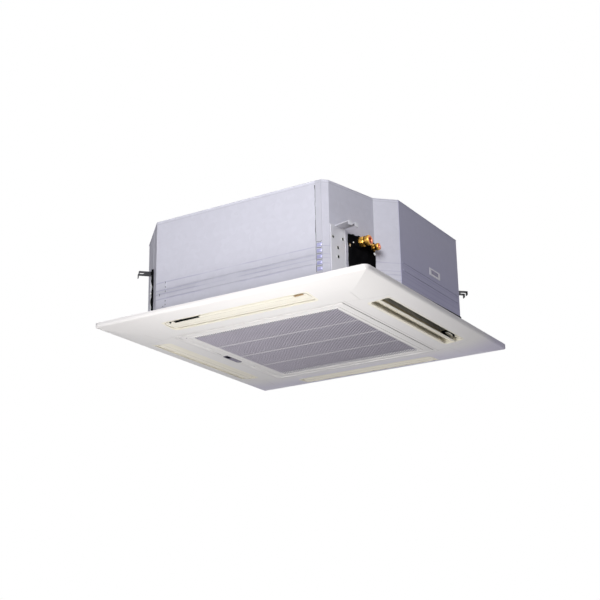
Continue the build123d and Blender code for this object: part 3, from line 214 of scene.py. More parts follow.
class Mat(Tree):
    """A material with one Principled shader, and short ways to its textures."""

    def __init__(self, name, **constants):
        self.data = bpy.data.materials.new(name)
        self.data.use_nodes = True
        super().__init__(self.data.node_tree)
        self.shader = self.tree.nodes["Principled BSDF"]
        self.place = self.node("ShaderNodeTexCoord").outputs["Object"]  # position on the object, metres
        for key, value in constants.items():
            self.set(key.replace("_", " "), value)

    def set(self, name, value):
        """Fills one of the shader's own sockets."""
        self.fill(self.shader.inputs[name], value)

    def finish(self, colour, rough):
        self.set("Base Color", colour)
        self.set("Roughness", rough)

    def axes(self):
        """The three coordinates of the position."""
        made = self.node("ShaderNodeSeparateXYZ", {"Vector": self.place})
        return [Sock(self, made.outputs[key]) for key in "XYZ"]

    def stretched(self, x, y, z):
        """Position scaled along each axis."""
        return self.node("ShaderNodeMapping", {"Vector": self.place, "Scale": (x, y, z)}).outputs[0]

    def noise(self, scale, detail=3.0, place=None):
        values = {"Vector": place or self.place, "Scale": scale, "Detail": detail, "Roughness": 0.55}
        return Sock(self, self.node("ShaderNodeTexNoise", values).outputs["Fac"])

    def cells(self, scale, place=None):
        """Distance from the middle of the nearest Voronoi cell."""
        made = self.node("ShaderNodeTexVoronoi", {"Vector": place or self.place, "Scale": scale})
        return Sock(self, made.outputs["Distance"])

    def spangle(self):
        """Zinc crystals: one random grey for each Voronoi cell."""
        made = self.node("ShaderNodeTexVoronoi", {"Vector": self.place, "Scale": 70.0})
        parts = self.node("ShaderNodeSeparateColor", {"Color": made.outputs["Color"]})
        return Sock(self, parts.outputs[0])

    def sheet(self):
        """Crystals, rolling streaks and patches of zinc-coated sheet."""
        streak = self.noise(6.0, 5.0, self.stretched(1.0, 1.0, 14.0))
        return self.spangle(), streak, self.noise(4.0, 3.0)

    def blend(self, factor, first, second):
        """Colour between first and second."""
        # the node's names repeat for each type of data: 6, 7 and output 2 are those of colours
        made = self.node("ShaderNodeMix", {0: factor, 6: first, 7: second}, data_type="RGBA")
        return made.outputs[2]

    def mottle(self, factor, colour, low, high):
        """Colour between two shades of one colour."""
        return self.blend(factor, shade(colour, low), shade(colour, high))

    def bump(self, height, strength, distance):
        """Adds relief on top of any that is there."""
        values = {"Strength": strength, "Distance": distance, "Height": height}
        made = self.node("ShaderNodeBump", values)
        normal = self.shader.inputs["Normal"]
        if normal.is_linked:
            self.fill(made.inputs["Normal"], normal.links[0].from_socket)
        self.fill(normal, made.outputs[0])


def linked(name, data):
    """A new object in the scene."""
    made = bpy.data.objects.new(name, data)
    bpy.context.scene.collection.objects.link(made)
    return made


def shade(colour, amount):
    """The same colour, lighter or darker."""
    return tuple(min(1.0, value * amount) for value in colour)


def tinted(colour, *amounts):
    """The colour with each channel scaled by its own amount."""
    return tuple(value * amount for value, amount in zip(colour, amounts))


# ---------------- finishes

PLASTIC_IOR = 1.46
GRAIN = 900.0  # noise scale of a mould's grain


def moulded(mat, colour, rough=0.42):
    """Moulded plastic: faint mottling, fine grain, uneven gloss."""
    mat.set("IOR", PLASTIC_IOR)
    cloud = mat.noise(9.0, 4.0)
    fine = mat.noise(GRAIN, 2.0)
    mat.finish(mat.mottle(cloud, colour, 0.97, 1.03), rough - 0.05 + cloud * 0.08 + fine * 0.04)
    mat.bump(fine, 0.25, 0.00006)


def line_mask(x, y, start, end, width):
    """1 on a line between two points of the plan in mm, 0 beyond width in m: distance to the segment."""
    start, end = np.array(start) * MM, np.array(end) * MM
    run = (end - start).tolist()
    start = start.tolist()
    length = run[0] ** 2 + run[1] ** 2
    along = (((x - start[0]) * run[0] + (y - start[1]) * run[1]) / length).unit()
    off_x = x - start[0] - along * run[0]
    off_y = y - start[1] - along * run[1]
    distance = (off_x * off_x + off_y * off_y).root()
    return 1.0 - distance.ramp(width * 0.3, width)


def crowned_panel(mat, colour):
    """Panel plastic: grain, dark step round the grille, creases to the outlets in painted shade, and
    painted shade, cooler, at the back.
    """
    mat.set("IOR", PLASTIC_IOR)
    x, y, z = mat.axes()
    far = abs(x).most(abs(y))
    creases = (far - GRILLE_EDGE * MM).line(0.0006, 0.002)
    for start, end in (
        ((305.5, 300.0), CREASE_FORK),
        (CREASE_FORK, (430.0, 269.0)),
        (CREASE_FORK, (362.0, 365.0)),
    ):
        creases = creases.most(line_mask(abs(x), abs(y), start, end, 0.0022) * 0.8)
    cloud = mat.noise(9.0, 4.0)
    fine = mat.noise(GRAIN, 2.0)
    body = mat.mottle(cloud, colour, 0.975, 1.025)
    # painted shade: the back of the panel is darker and cooler
    body = mat.blend(y.ramp(0.27, 0.42) * 0.85, body, tinted(colour, 0.78, 0.76, 0.97))
    # the step round the grille is its dark joint with the grille; the creases to the outlets are darkened
    # in painted shade; both also get relief below
    mat.finish(mat.blend(creases * 0.16, body, shade(colour, 0.55)), 0.37 + cloud * 0.08 + fine * 0.04)
    mat.bump(fine, 0.2, 0.00005)
    mat.bump(creases, 0.9, 0.0012)


def intake_plastic(mat, border, field):
    """Grille plastic: white border, grey slats with lighter edges, painted shade deeper in the gaps."""
    mat.set("IOR", PLASTIC_IOR)
    x, y, z = mat.axes()
    inside = 1.0 - abs(x).most(abs(y)).ramp(FIELD_HALF * MM - 0.0005, FIELD_HALF * MM + 0.0005)
    cloud = mat.noise(6.0, 3.0)
    fine = mat.noise(1200.0, 2.0)
    weave = ((x + y).wrap(0.0074) / 0.0037).ramp(0.2, 0.8)
    gap_shade = (z + HANG * MM).ramp(0.0008, 0.006)
    slats = mat.mottle(weave * 0.5 + cloud * 0.3, field, 0.82, 1.2)
    # painted shade: the slats darken deeper into the gaps between them
    slats = mat.blend(gap_shade, slats, shade(field, 0.25))
    rim = mat.mottle(cloud, border, 0.97, 1.02)
    mat.finish(mat.blend(inside, rim, slats), 0.42 + cloud * 0.06 + fine * 0.05)
    mat.bump(fine, 0.25, 0.00006)


def casing_sheet(mat, colour):
    """Casing sheet: spangle, streaks, soft dents and painted shade: along press lines, at the foot, on the
    front strip and, bluer, on the right face.
    """
    mat.set("Specular IOR Level", 0.2)
    x, y, z = mat.axes()
    height = z + HANG * MM
    spangle, streak, cloud = mat.sheet()
    wave = mat.noise(7.0, 2.0, mat.stretched(1.0, 1.0, 0.2)) * 0.016
    # painted shade: the foot above the panel is darkened; a patchy darker band at 104 mm is blended in
    # with it
    foot = 1.0 - (height + wave).ramp(0.05, 0.088)
    band = (height - 0.104 + wave * 0.3).line(0.004, 0.012) * cloud.ramp(0.35, 0.6)
    hem = (height - 0.327).line(0.0004, 0.0012)
    tone = (spangle * 0.3 + streak * 0.35 + cloud * 0.35).ramp(0.2, 0.8)
    body = mat.mottle(tone, colour, 0.965, 1.02)
    body = mat.blend(foot * 0.45 + band * 0.2, body, shade(colour, 0.6))
    # painted shade along the press lines, bluish; they have no relief of their own
    press = (height - 0.112 + wave * 0.3).line(0.0006, 0.0022)
    for level in (0.132, 0.096, 0.08):
        press = press.most((height - level - wave * 0.3).line(0.0006, 0.0022))
    press = press * cloud.ramp(0.3, 0.5) * height.over(0.06)
    body = mat.blend(press * 0.42, body, tinted(colour, 0.5, 0.48, 0.66))
    # painted shade: the right face is bluer and darker, more so lower down
    right_face = x.over(0.4185) * (1.0 - height.ramp(0.04, 0.33) * 0.45)
    body = mat.blend(right_face * 0.6, body, tinted(colour, 0.62, 0.6, 0.84))
    # painted shade: the front strip right of the seam is darker
    strip = x.over(0.287) * (-y).over(0.4203)
    body = mat.blend(strip * 0.3, body, shade(colour, 0.55))
    mat.finish(mat.blend(hem * 0.3, body, shade(colour, 0.55)), 0.44 + spangle * 0.05 + cloud * 0.1)
    mat.bump(spangle, 0.06, 0.00006)
    mat.bump(hem, 0.4, 0.0006)
    mat.bump(mat.noise(2.2, 2.0), 0.2, 0.003)


def hanger_steel(mat, light, dark):
    """Pressed hangers: bright zinc, with black paint on the forks outside the pipe corner."""
    mat.set("Metallic", 0.25)
    x, y, z = mat.axes()
    fork = (abs(x) + abs(y)).over(0.7052) * (z + 0.013).over(0.0)
    pipe_corner = x.over(0.0) * (-y).over(0.0)
    painted = fork * (1.0 - pipe_corner)
    brush = mat.noise(160.0, 3.0, mat.stretched(1.0, 1.0, 0.08))
    rub = mat.noise(40.0, 4.0)
    bright, black = mat.mottle(rub, light, 0.9, 1.06), mat.mottle(rub, dark, 0.6, 1.6)
    mat.finish(mat.blend(painted, bright, black), 0.36 + brush * 0.12 + rub * 0.08)
    mat.bump(brush, 0.12, 0.00005)


def bare_plate(mat, light, dark):
    """Bare nameplate film: pale frame round a darker field, rubbed."""
    mat.set("IOR", 1.5)
    x, y, z = mat.axes()
    field = (abs(y - 0.066) / 0.025).most(abs(z + 0.031) / 0.0065)
    inner = 1.0 - field.ramp(0.92, 1.0)
    rub = mat.noise(60.0, 4.0)
    mat.finish(mat.blend(inner, mat.mottle(rub, light, 0.95, 1.03), dark), 0.28 + rub * 0.1)
    mat.bump(inner, 0.3, 0.0003)


def louvre_plastic(mat, colour):
    """Cream louvre plastic: soft mottling, faint grain, and painted shade, darker and warmer, inside the
    duct.
    """
    mat.set("IOR", PLASTIC_IOR)
    x, y, z = mat.axes()
    duct_shade = (z + HANG * MM).ramp(0.022, 0.05)
    cloud = mat.noise(12.0, 4.0)
    body = mat.mottle(cloud, colour, 0.96, 1.03)
    # painted shade: higher inside the duct the plastic is darker and warmer
    mat.finish(mat.blend(duct_shade, body, tinted(colour, 0.72, 0.66, 0.48)), 0.36 + cloud * 0.08)
    mat.bump(mat.noise(GRAIN, 2.0), 0.25, 0.00005)


def zinc_sheet(mat, colour):
    """Zinc-coated sheet: spangle, faint streaks, dull patches."""
    mat.set("Metallic", 0.6)
    spangle, streak, cloud = mat.sheet()
    tone = (spangle * 0.35 + streak * 0.35 + cloud * 0.3).ramp(0.2, 0.8)
    mat.finish(mat.mottle(tone, colour, 0.93, 1.04), 0.38 + spangle * 0.06 + cloud * 0.1)
    mat.bump(spangle, 0.1, 0.00008)
    mat.bump(mat.noise(2.2, 2.0), 0.3, 0.004)


def plated_steel(mat, colour, rough):
    """Zinc-plated pressed steel: fine brushing, rubbed marks."""
    mat.set("Metallic", 0.85)
    brush = mat.noise(160.0, 3.0, mat.stretched(1.0, 1.0, 0.08))
    rub = mat.noise(40.0, 4.0)
    mat.finish(mat.mottle(rub, colour, 0.85, 1.08), rough + brush * 0.12 + rub * 0.08)
    mat.bump(brush, 0.15, 0.00005)


def turned_brass(mat, colour):
    """Turned brass: ring marks, light tarnish."""
    mat.set("Metallic", 1.0)
    tarnish = mat.noise(60.0, 4.0)
    mat.finish(mat.mottle(tarnish, colour, 0.62, 1.15), 0.22 + tarnish * 0.2)
    mat.bump(mat.noise(700.0, 1.0, mat.stretched(1.0, 0.05, 0.05)), 0.25, 0.00005)


def drawn_copper(mat, colour):
    """Drawn copper tube: rosy metal with darker bloom."""
    mat.set("Metallic", 1.0)
    bloom = mat.noise(45.0, 5.0)
    mat.finish(mat.blend(bloom.ramp(0.35, 0.7), colour, shade(colour, 0.45)), 0.25 + bloom * 0.25)


def foam(mat, colour, cell=650.0):
    """Closed-cell foam: small pits all over."""
    mat.set("Specular IOR Level", 0.1)
    pits = mat.cells(cell)
    mat.finish(mat.mottle(mat.noise(14.0, 4.0), colour, 0.85, 1.12), 0.9 - pits * 0.08)
    mat.bump(pits, 0.6, 0.0004)


def rubber(mat, colour):
    """Moulded rubber or soft black foam: matt, with a faint bloom."""
    mat.set("Specular IOR Level", 0.0)
    bloom = mat.noise(35.0, 4.0)
    mat.finish(mat.mottle(bloom, colour, 0.7, 1.4), 0.6 + bloom * 0.25)
    mat.bump(mat.noise(500.0, 2.0), 0.3, 0.0001)


def smoky_window(mat, colour):
    """Dark lens over a receiver, without mirror light."""
    mat.set("Specular IOR Level", 0.0)
    mat.finish(mat.mottle(mat.noise(120.0), colour, 1.0, 1.8), 0.4)


def finned_aluminium(mat, colour):
    """Coil of thin fins: painted shade in a fine comb of gaps round the coil."""
    x, y, z = mat.axes()
    gap = ((x + y).wrap(0.0022) * (1 / 0.0011)).ramp(0.35, 0.6)
    # painted shade: the gaps between the fins are dark; the bump gives them relief
    mat.finish(mat.mottle(gap, colour, 0.25, 1.0), 0.4 + mat.noise(30.0) * 0.1)
    mat.set("Metallic", 0.9 - gap * 0.1)
    mat.bump(gap, 0.7, 0.0008)


def circuit(mat, colour):
    """Coated circuit board with faint tracks."""
    track = mat.cells(140.0, mat.stretched(1.0, 0.3, 1.0)).ramp(0.25, 0.4)
    mat.finish(mat.mottle(track, colour, 1.5, 1.0), 0.3 + track * 0.2)
    mat.bump(track, 0.3, 0.0001)


def woven_net(mat, colour):
    """Fine net: open square mesh shown by dark and light threads."""
    x, y, z = mat.axes()
    warp, weft = (axis.wrap(0.0016) * (1 / 0.0008) for axis in (x, y))
    thread = warp.most(weft).ramp(0.6, 0.8)
    mat.finish(mat.mottle(thread, colour, 0.3, 1.0), 0.6 + thread * 0.1)
    mat.bump(thread, 0.6, 0.0002)


def enamel(mat, colour):
    """Stoved enamel with slight orange peel."""
    mat.set("Coat Weight", 0.2)
    peel = mat.noise(260.0, 1.0)
    mat.finish(mat.mottle(mat.noise(12.0), colour, 0.9, 1.1), 0.35 + peel * 0.1)
    mat.bump(peel, 0.2, 0.0001)


def shaded_crimp(mat, dark, light):
    """Zinc of the crimps in painted bluish shade: streaked, slightly glossy."""
    mat.set("Metallic", 0.2)
    streak = mat.noise(90.0, 4.0, mat.stretched(0.3, 1.0, 1.0))
    mat.finish(mat.blend(streak, dark, light), 0.3 + streak * 0.15)
    mat.bump(streak, 0.3, 0.0002)


def cream(mat, dark, light):
    """Cream plastic of the outlet's end: faint grain and soft mottling."""
    mat.set("IOR", PLASTIC_IOR)
    cloud = mat.noise(20.0, 4.0)
    mat.finish(mat.blend(cloud, dark, light), 0.4 + cloud * 0.1)
    mat.bump(mat.noise(GRAIN, 2.0), 0.2, 0.00005)


def dusty_edge(mat, dark, light):
    """Pale plastic of the grille's ribs and teeth, dusty between them."""
    dust = mat.noise(300.0, 2.0)
    mat.finish(mat.blend(dust, dark, light), 0.4 + dust * 0.15)
    mat.bump(dust, 0.2, 0.0001)


# Recipe of each finish and what it needs: first the record's slots, then those of single pieces
FINISHES = {
    "motor_beige": (moulded, (0.70, 0.67, 0.58)),
    "acetal": (moulded, (0.80, 0.80, 0.78), 0.35),
    "filter_black": (moulded, (0.06, 0.06, 0.07), 0.5),
    "net": (woven_net, (0.10, 0.10, 0.12)),
    "dark_window": (smoky_window, (0.01, 0.01, 0.014)),
    "receiver_grey": (moulded, (0.24, 0.22, 0.28), 0.6),
    "button_grey": (moulded, (0.40, 0.41, 0.44), 0.3),
    "board_green": (circuit, (0.03, 0.16, 0.07)),
    "bracket_steel": (hanger_steel, (0.74, 0.74, 0.79), (0.02, 0.02, 0.028)),
    "screw_steel": (plated_steel, (0.70, 0.70, 0.70), 0.25),
    "foam_white": (foam, (0.80, 0.80, 0.78), 300.0),
    "foam_grey": (foam, (0.10, 0.10, 0.11)),
    "seal_black": (foam, (0.015, 0.015, 0.018), 900.0),
    "fin_aluminium": (finned_aluminium, (0.72, 0.74, 0.77)),
    "copper": (drawn_copper, (0.86, 0.30, 0.17)),
    "nut_brass": (turned_brass, (0.86, 0.48, 0.10)),
    "cover_black": (rubber, (0.006, 0.006, 0.007)),
    "fan_plastic": (moulded, (0.08, 0.085, 0.10), 0.5),
    "motor_steel": (enamel, (0.10, 0.105, 0.115)),
    "mount_rubber": (rubber, (0.012, 0.012, 0.014)),
    "pump_white": (moulded, (0.78, 0.78, 0.76)),
    "box_steel": (zinc_sheet, (0.62, 0.63, 0.66)),
    "label_white": (bare_plate, (0.9, 0.88, 0.94), (0.22, 0.2, 0.34)),
    # the crimps' bluish finish is painted shade
    "crimp_blue": (shaded_crimp, (0.3, 0.3, 0.62), (0.62, 0.62, 0.84)),
    "cream_plate": (cream, (0.86, 0.82, 0.70), (0.95, 0.92, 0.82)),
    "rib_white": (dusty_edge, (0.78, 0.76, 0.80), (0.92, 0.90, 0.94)),
    # brown of the front flap's slit: painted shade
    "slot_brown": (moulded, (0.36, 0.22, 0.09)),
}


# ---------------- surfaces


def grid_quads(rows, columns, wrap):
    """Quads of a grid of points stored row by row; wrap joins the last column to the first."""
    last = columns if wrap else columns - 1
    row, column = np.meshgrid(np.arange(rows - 1), np.arange(last), indexing="ij")
    here, beside = row * columns + column, row * columns + (column + 1) % columns
    return np.stack((here, beside, beside + columns, here + columns), axis=-1).reshape(-1, 4)


class Surface:
    """Point grids, in millimetres from the panel's underside, gathered into one mesh."""

    def __init__(self):
        self.points = []
        self.faces = []

    def grid(self, points, wrap=False, caps=False):
        """Adds a grid of shape (rows, columns, 3); caps closes its first and last row."""
        rows, columns = points.shape[:2]
        start = sum(map(len, self.points))
        self.faces += (grid_quads(rows, columns, wrap) + start).tolist()
        if caps:
            for first in (start, start + (rows - 1) * columns):
                self.faces.append(list(range(first, first + columns)))
        self.points.append(points.reshape(-1, 3))
        return self

    def tube(self, rings):
        """Adds rings joined into an open tube."""
        return self.grid(rings, wrap=True)

    def bar(self, rings):
        """Adds rings joined into a tube with closed ends."""
        return self.grid(rings, wrap=True, caps=True)

    def copies(self, points, places):
        """Adds the same grid at each place."""
        for place in places:
            self.grid(points + np.asarray(place))

    def make(self, name, body, slot, smooth=True, finish=None, thick=0.0, offset=-1.0):
        """Builds the object with outward faces; it rides on body, in its slot's finish or its own."""
        data = bpy.data.meshes.new(name)
        points = np.concatenate(self.points) - (0.0, 0.0, HANG)
        data.from_pydata((points * MM).tolist(), [], self.faces)
        work = bmesh.new()
        work.from_mesh(data)
        bmesh.ops.recalc_face_normals(work, faces=work.faces)
        work.to_mesh(data)
        work.free()
        data.update()
        made = linked(name, data)
        data.materials.append(bpy.data.materials[finish or slot])
        if smooth:
            data.shade_smooth()
        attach(made, body)
        if thick:
            solid = made.modifiers.new("thickness", "SOLIDIFY")
            solid.thickness = thick * MM
            solid.offset = offset
        return made


def stacked(x, y, z):
    """Points from three arrays that broadcast together."""
    return np.stack(np.broadcast_arrays(x, y, z), axis=-1)


def square(rows, columns):
    """Parameters u down the rows and v along the columns, both from -1 to 1."""
    return np.linspace(-1, 1, rows)[:, None], np.linspace(-1, 1, columns)[None, :]


def circle(count):
    """Angles round a full turn."""
    return np.linspace(0, 2 * np.pi, count, endpoint=False)


def turn_plan(points, degrees):
    """Points turned about the middle of the unit: x' = x cos a - y sin a, y' = x sin a + y cos a."""
    a = math.radians(degrees)
    x, y, z = points[..., 0], points[..., 1], points[..., 2]
    return stacked(x * math.cos(a) - y * math.sin(a), x * math.sin(a) + y * math.cos(a), z)


def on_face(points, place):
    """Points given as (outward, across, height) moved to a wall point (x, y, direction in degrees)."""
    return turn_plan(points, place[2]) + np.array((place[0], place[1], 0.0))


def rings_x(x, radius, a, centre):
    """Rings about a line along X: y = radius cos a, z = radius sin a, from the centre."""
    return stacked(x, radius * np.cos(a), radius * np.sin(a)) + np.array(centre)


def turned_x(profile, centre):
    """Surface of revolution about a line along X; profile rows are (x, radius)."""
    x, radius = np.array(profile).T[:, :, None]
    return rings_x(x, radius, circle(48), centre)


def hexagon_x(rows, centre):
    """Chamfered hexagon about X: radius = min(flat / cos(a wrapped to 60 degrees), cone) in each row."""
    a = circle(96)
    x, flat, cone = np.array(rows).T[:, :, None]
    wrapped = np.mod(a + np.pi / 6, np.pi / 3) - np.pi / 6
    return rings_x(x, np.minimum(flat / np.cos(wrapped), cone), a, centre)


def pipe_along(path, radius, turn):
    """Round bar along a path: at each point, radius (cos a n + sin a b) with n, b square to the path."""
    path = np.asarray(path, float)
    ahead = np.gradient(path, axis=0)
    ahead /= np.linalg.norm(ahead, axis=1, keepdims=True)
    guide = np.where(np.abs(ahead[:, 2:]) > 0.9, (1.0, 0.0, 0.0), (0.0, 0.0, 1.0))
    side = np.cross(ahead, guide)
    side /= np.linalg.norm(side, axis=1, keepdims=True)
    up = np.cross(side, ahead)
    a = circle(turn)[None, :, None]
    radius = np.broadcast_to(radius, len(path))[:, None, None]
    return path[:, None] + radius * (np.cos(a) * side[:, None] + np.sin(a) * up[:, None])


def ring_along(path, radius, turn):
    """Round bar along a closed path, its first ring repeated at the end."""
    return pipe_along(np.concatenate((path[-1:], path, path[:2])), radius, turn)[1:-1]


def walk(corners, steps):
    """Points at even shares s of each run between corners, a (1 - s) + b s, without the last corner."""
    share = np.linspace(0, 1, steps, endpoint=False)[:, None, None]
    run = corners[:-1] * (1 - share) + corners[1:] * share
    return run.transpose(1, 0, 2).reshape(-1, corners.shape[1])


def dome(radius, height, rows=6, turn=20, recess=0.0):
    """Domed head at the (outward, across, height) origin: rise = h sqrt(1 - q^2), less a cross dent."""
    q = np.sin(np.linspace(np.pi / 2, 0.02, rows))[:, None]
    a = circle(turn)
    cross = np.exp(-((radius * q * np.sin(2 * a)) ** 2)) * (q < 0.62)
    rise = height * np.sqrt(np.clip(1 - q**2, 0, 1)) - recess * cross
    return stacked(rise, radius * q * np.cos(a), radius * q * np.sin(a))


def crown_height(reach):
    """Underside of a closed flap by reach: r - sqrt(r^2 - d^2), d from the crown's start."""
    past = PIVOT_OUT - CROWN_START + reach
    return CROWN_RADIUS - np.sqrt(CROWN_RADIUS**2 - past**2) + FLAP_RECESS


def on_flap(side, reach, along, height):
    """Flap at rest: reach r and rise h from the pivot turn to r cos a + h sin a and h cos a - r sin a."""
    a = math.radians(FLAP_ANGLES[side])
    rise = height - PIVOT_UP
    x = PIVOT_OUT + reach * math.cos(a) + rise * math.sin(a)
    z = PIVOT_UP - reach * math.sin(a) + rise * math.cos(a)
    return stacked(x, along, z)


# ---------------- settings


class CassetteLooks(bpy.types.PropertyGroup):
    """Colours of the finishes."""

    panel: FloatVectorProperty(
        name="Panel", description="Colour of the panel", subtype="COLOR", default=(0.87, 0.85, 0.84)
    )
    grille: FloatVectorProperty(
        name="Grille", description="Colour of the slats", subtype="COLOR", default=(0.70, 0.66, 0.76)
    )
    ivory: FloatVectorProperty(
        name="Louvres", description="Louvres and surrounds", subtype="COLOR", default=(0.94, 0.90, 0.79)
    )
    sheet: FloatVectorProperty(
        name="Casing", description="Zinc-coated sheet", subtype="COLOR", default=(0.70, 0.70, 0.78)
    )


class CassetteStage(bpy.types.PropertyGroup):
    """Camera and lamps."""

    lens: FloatProperty(name="Lens", description="Focal length", subtype="DISTANCE_CAMERA", default=76.56)
    eye: FloatVectorProperty(
        name="Eye", description="Camera's place", subtype="XYZ", unit="LENGTH",
        default=(1.994, -3.308, -1.343),
    )
    azimuth: FloatProperty(name="Azimuth", description="Turn of the view, degrees", default=31.6)
    elevation: FloatProperty(name="Elevation", description="Height of view, degrees", default=-18.6)
    roll: FloatProperty(name="Roll", description="Turn of the picture, degrees", default=-0.97)
    shift_x: FloatProperty(name="Shift X", description="Sideways shift of the frame", default=0.0067)
    shift_y: FloatProperty(name="Shift Y", description="Upward shift of the frame", default=-0.005)
    front_lamp: FloatProperty(name="Front lamp", description="Power beside the camera, W", default=74.0)
    low_lamp: FloatProperty(name="Low lamp", description="Power under the panel, W", default=12.0)
    fill_lamp: FloatProperty(name="Fill lamp", description="Power towards the outlets, W", default=9.0)
    back_lamp: FloatProperty(name="Back lamp", description="Power behind and above, W", default=55.0)
    room: FloatProperty(name="Room", description="Strength of the even room light", default=0.075)


# ---------------- operators


class FinishNodes(bpy.types.Operator):
    """Makes the finishes and gives each CAD node its own"""

    bl_idname = "cassette.finish_nodes"
    bl_label = "Finishes"

    def execute(self, context):
        looks = context.scene.cassette_looks
        for plain in bpy.data.materials:  # the frame's own plain finishes have the same names
            plain.name = f"plain_{plain.name}"
        recipes = FINISHES | {
            "panel_white": (crowned_panel, tuple(looks.panel)),
            "grille_grey": (intake_plastic, tuple(looks.panel), tuple(looks.grille)),
            "ivory": (louvre_plastic, tuple(looks.ivory)),
            "zinc_steel": (casing_sheet, tuple(looks.sheet)),
        }
        for name, (recipe, *needs) in recipes.items():
            recipe(Mat(name), *needs)
        slots = {row["node"]: row["material_slot"] for row in frame["record"]["subparts"]}
        for name, node in NODES.items():
            node.data.materials.clear()
            node.data.materials.append(bpy.data.materials[slots[name]])
        return {"FINISHED"}


class BuildNuts(bpy.types.Operator):
    """Chamfered flare nuts with a shoulder, a rolled nose and a copper mouth"""

    bl_idname = "cassette.build_nuts"
    bl_label = "Flare nuts"

    def execute(self, context):
        brass, mouths = Surface(), Surface()
        for centre, flat, length, bore in (GAS_NUT, LIQUID_NUT):
            middle, corner, nose = length * 0.5, flat * 1.17, flat * 1.06
            head = (
                (0.2, flat, bore), (0.2, flat, flat), (2.2, flat, corner),
                (middle - 2.0, flat, corner), (middle, flat, flat * 0.98),
            )
            neck = (
                (middle - 0.5, flat * 0.8), (middle + 1.5, flat * 0.8), (middle + 3.5, nose * 0.97),
                (middle + 5.0, nose), (length - 2.5, nose), (length - 0.7, nose * 0.96),
                (length, nose * 0.88), (length, bore + 1.6),
            )
            mouth = (
                (length - 0.1, nose * 0.84), (length + 0.5, nose * 0.8), (length + 0.6, bore + 1.4),
                (length - 3.0, bore + 0.4), (length * 0.4, bore), (1.0, bore),
            )
            brass.tube(hexagon_x(head, centre))
            brass.tube(turned_x(neck, centre))
            mouths.tube(turned_x(mouth, centre))
        nuts = brass.make("flare_nut_bodies", "unit", "nut_brass")
        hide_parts("flare_nuts")
        mouths.make("flare_mouths", "unit", "copper")
        return {"FINISHED"}


class BuildInsulation(bpy.types.Operator):
    """Black foam round the pipe stubs and a padded foam cover on the pipe plate"""

    bl_idname = "cassette.build_insulation"
    bl_label = "Pipe insulation"

    def execute(self, context):
        self.pad()
        self.sleeves()
        stud = dome(2.6, 2.2, recess=0.5) + (9.5, -44.0, 165.0)
        Surface().tube(on_face(stud, PIPE_FACE)).make("pipe_plate_stud", "unit", "screw_steel")
        return {"FINISHED"}

    def pad(self):
        """Pad that swells by (1 - u^8)(1 - v^8) with sine ripples; two crests rise from its top edge."""
        v, u = square(40, 46)
        swell = np.clip(1 - np.abs(u) ** 8, 0, 1) * np.clip(1 - np.abs(v) ** 8, 0, 1)
        ripple = 0.8 * np.sin(5 * u + 3 * v) + 0.6 * np.sin(11 * u - 6 * v) + 0.5 * np.sin(4 * u * v * 3)
        out = 2.8 + swell * (4.6 + ripple)
        across = 58.5 * u + 1.2 * np.sin(7 * v)
        crest = 6.0 * np.exp(-(((u + 0.62) / 0.22) ** 2)) + 3.5 * np.exp(-(((u - 0.35) / 0.2) ** 2)) - 2.0
        height = 128.0 + 62.0 * v + np.clip(v, 0, 1) ** 3 * crest
        pad = on_face(stacked(out, across, height), PIPE_FACE)
        Surface().grid(pad).make("pipe_pad", "unit", "cover_black", thick=2.4)

    def sleeves(self):
        """Lumpy tubes: radius times three sines of the turn and the length, drawn in at both ends."""
        made = Surface()
        s = np.linspace(0, 1, 14)[:, None]
        a = circle(40)
        lumps = 1 + 0.07 * np.sin(3 * a + 7 * s) + 0.05 * np.sin(5 * a - 11 * s)
        lumps += 0.03 * np.sin(9 * a + 17 * s)
        closing = np.sqrt(np.clip(1 - (2 * s - 1) ** 6, 0, 1)) * 0.35 + 0.65
        for (centre, *_), radius in ((GAS_NUT, 19.5), (LIQUID_NUT, 15.5)):
            made.bar(rings_x(16 * s - 14, radius * lumps * closing, a, centre))
        made.make("pipe_sleeves", "unit", "cover_black")


class BuildHangerTrim(bpy.types.Operator):
    """Rings in the hangers' holes with dark domes in them, a painted shade of the holes, and a folded edge
    on each plate
    """

    bl_idname = "cassette.build_hanger_trim"
    bl_label = "Hanger trim"

    def execute(self, context):
        rings, ends, folds = Surface(), Surface(), Surface()
        a = circle(32)
        q = circle(10)[:, None]
        z = np.linspace(60, HANG, 30)
        for name, place in HANGERS.items():
            wide = name == "front_right"
            for across, down, radius in PIPE_HOLES if wide else PLAIN_HOLES:
                ring = radius + 0.7 + 0.8 * np.cos(q)
                hole = (0.0, across, HANG - down)
                torus = stacked(2.5 + 0.7 * np.sin(q), ring * np.cos(a), ring * np.sin(a)) + hole
                rings.tube(on_face(np.concatenate((torus, torus[:1])), place))
                # painted shade: a dark dome in each hole
                hole_shade_dome = dome(radius * 0.93, 1.5, recess=0.9) + (0.9, 0.0, 0.0) + hole
                ends.tube(on_face(hole_shade_dome, place))
            for side in (-39.2, 20.7) if wide else (-21.2, 21.2):
                folds.bar(on_face(pipe_along(stacked(2.6, side, z), 0.8, 10), place))
        rings.make("hanger_eyelets", "unit", "screw_steel")
        ends.make("hanger_bolt_ends", "unit", "mount_rubber")
        folds.make("hanger_folds", "unit", "bracket_steel")
        return {"FINISHED"}


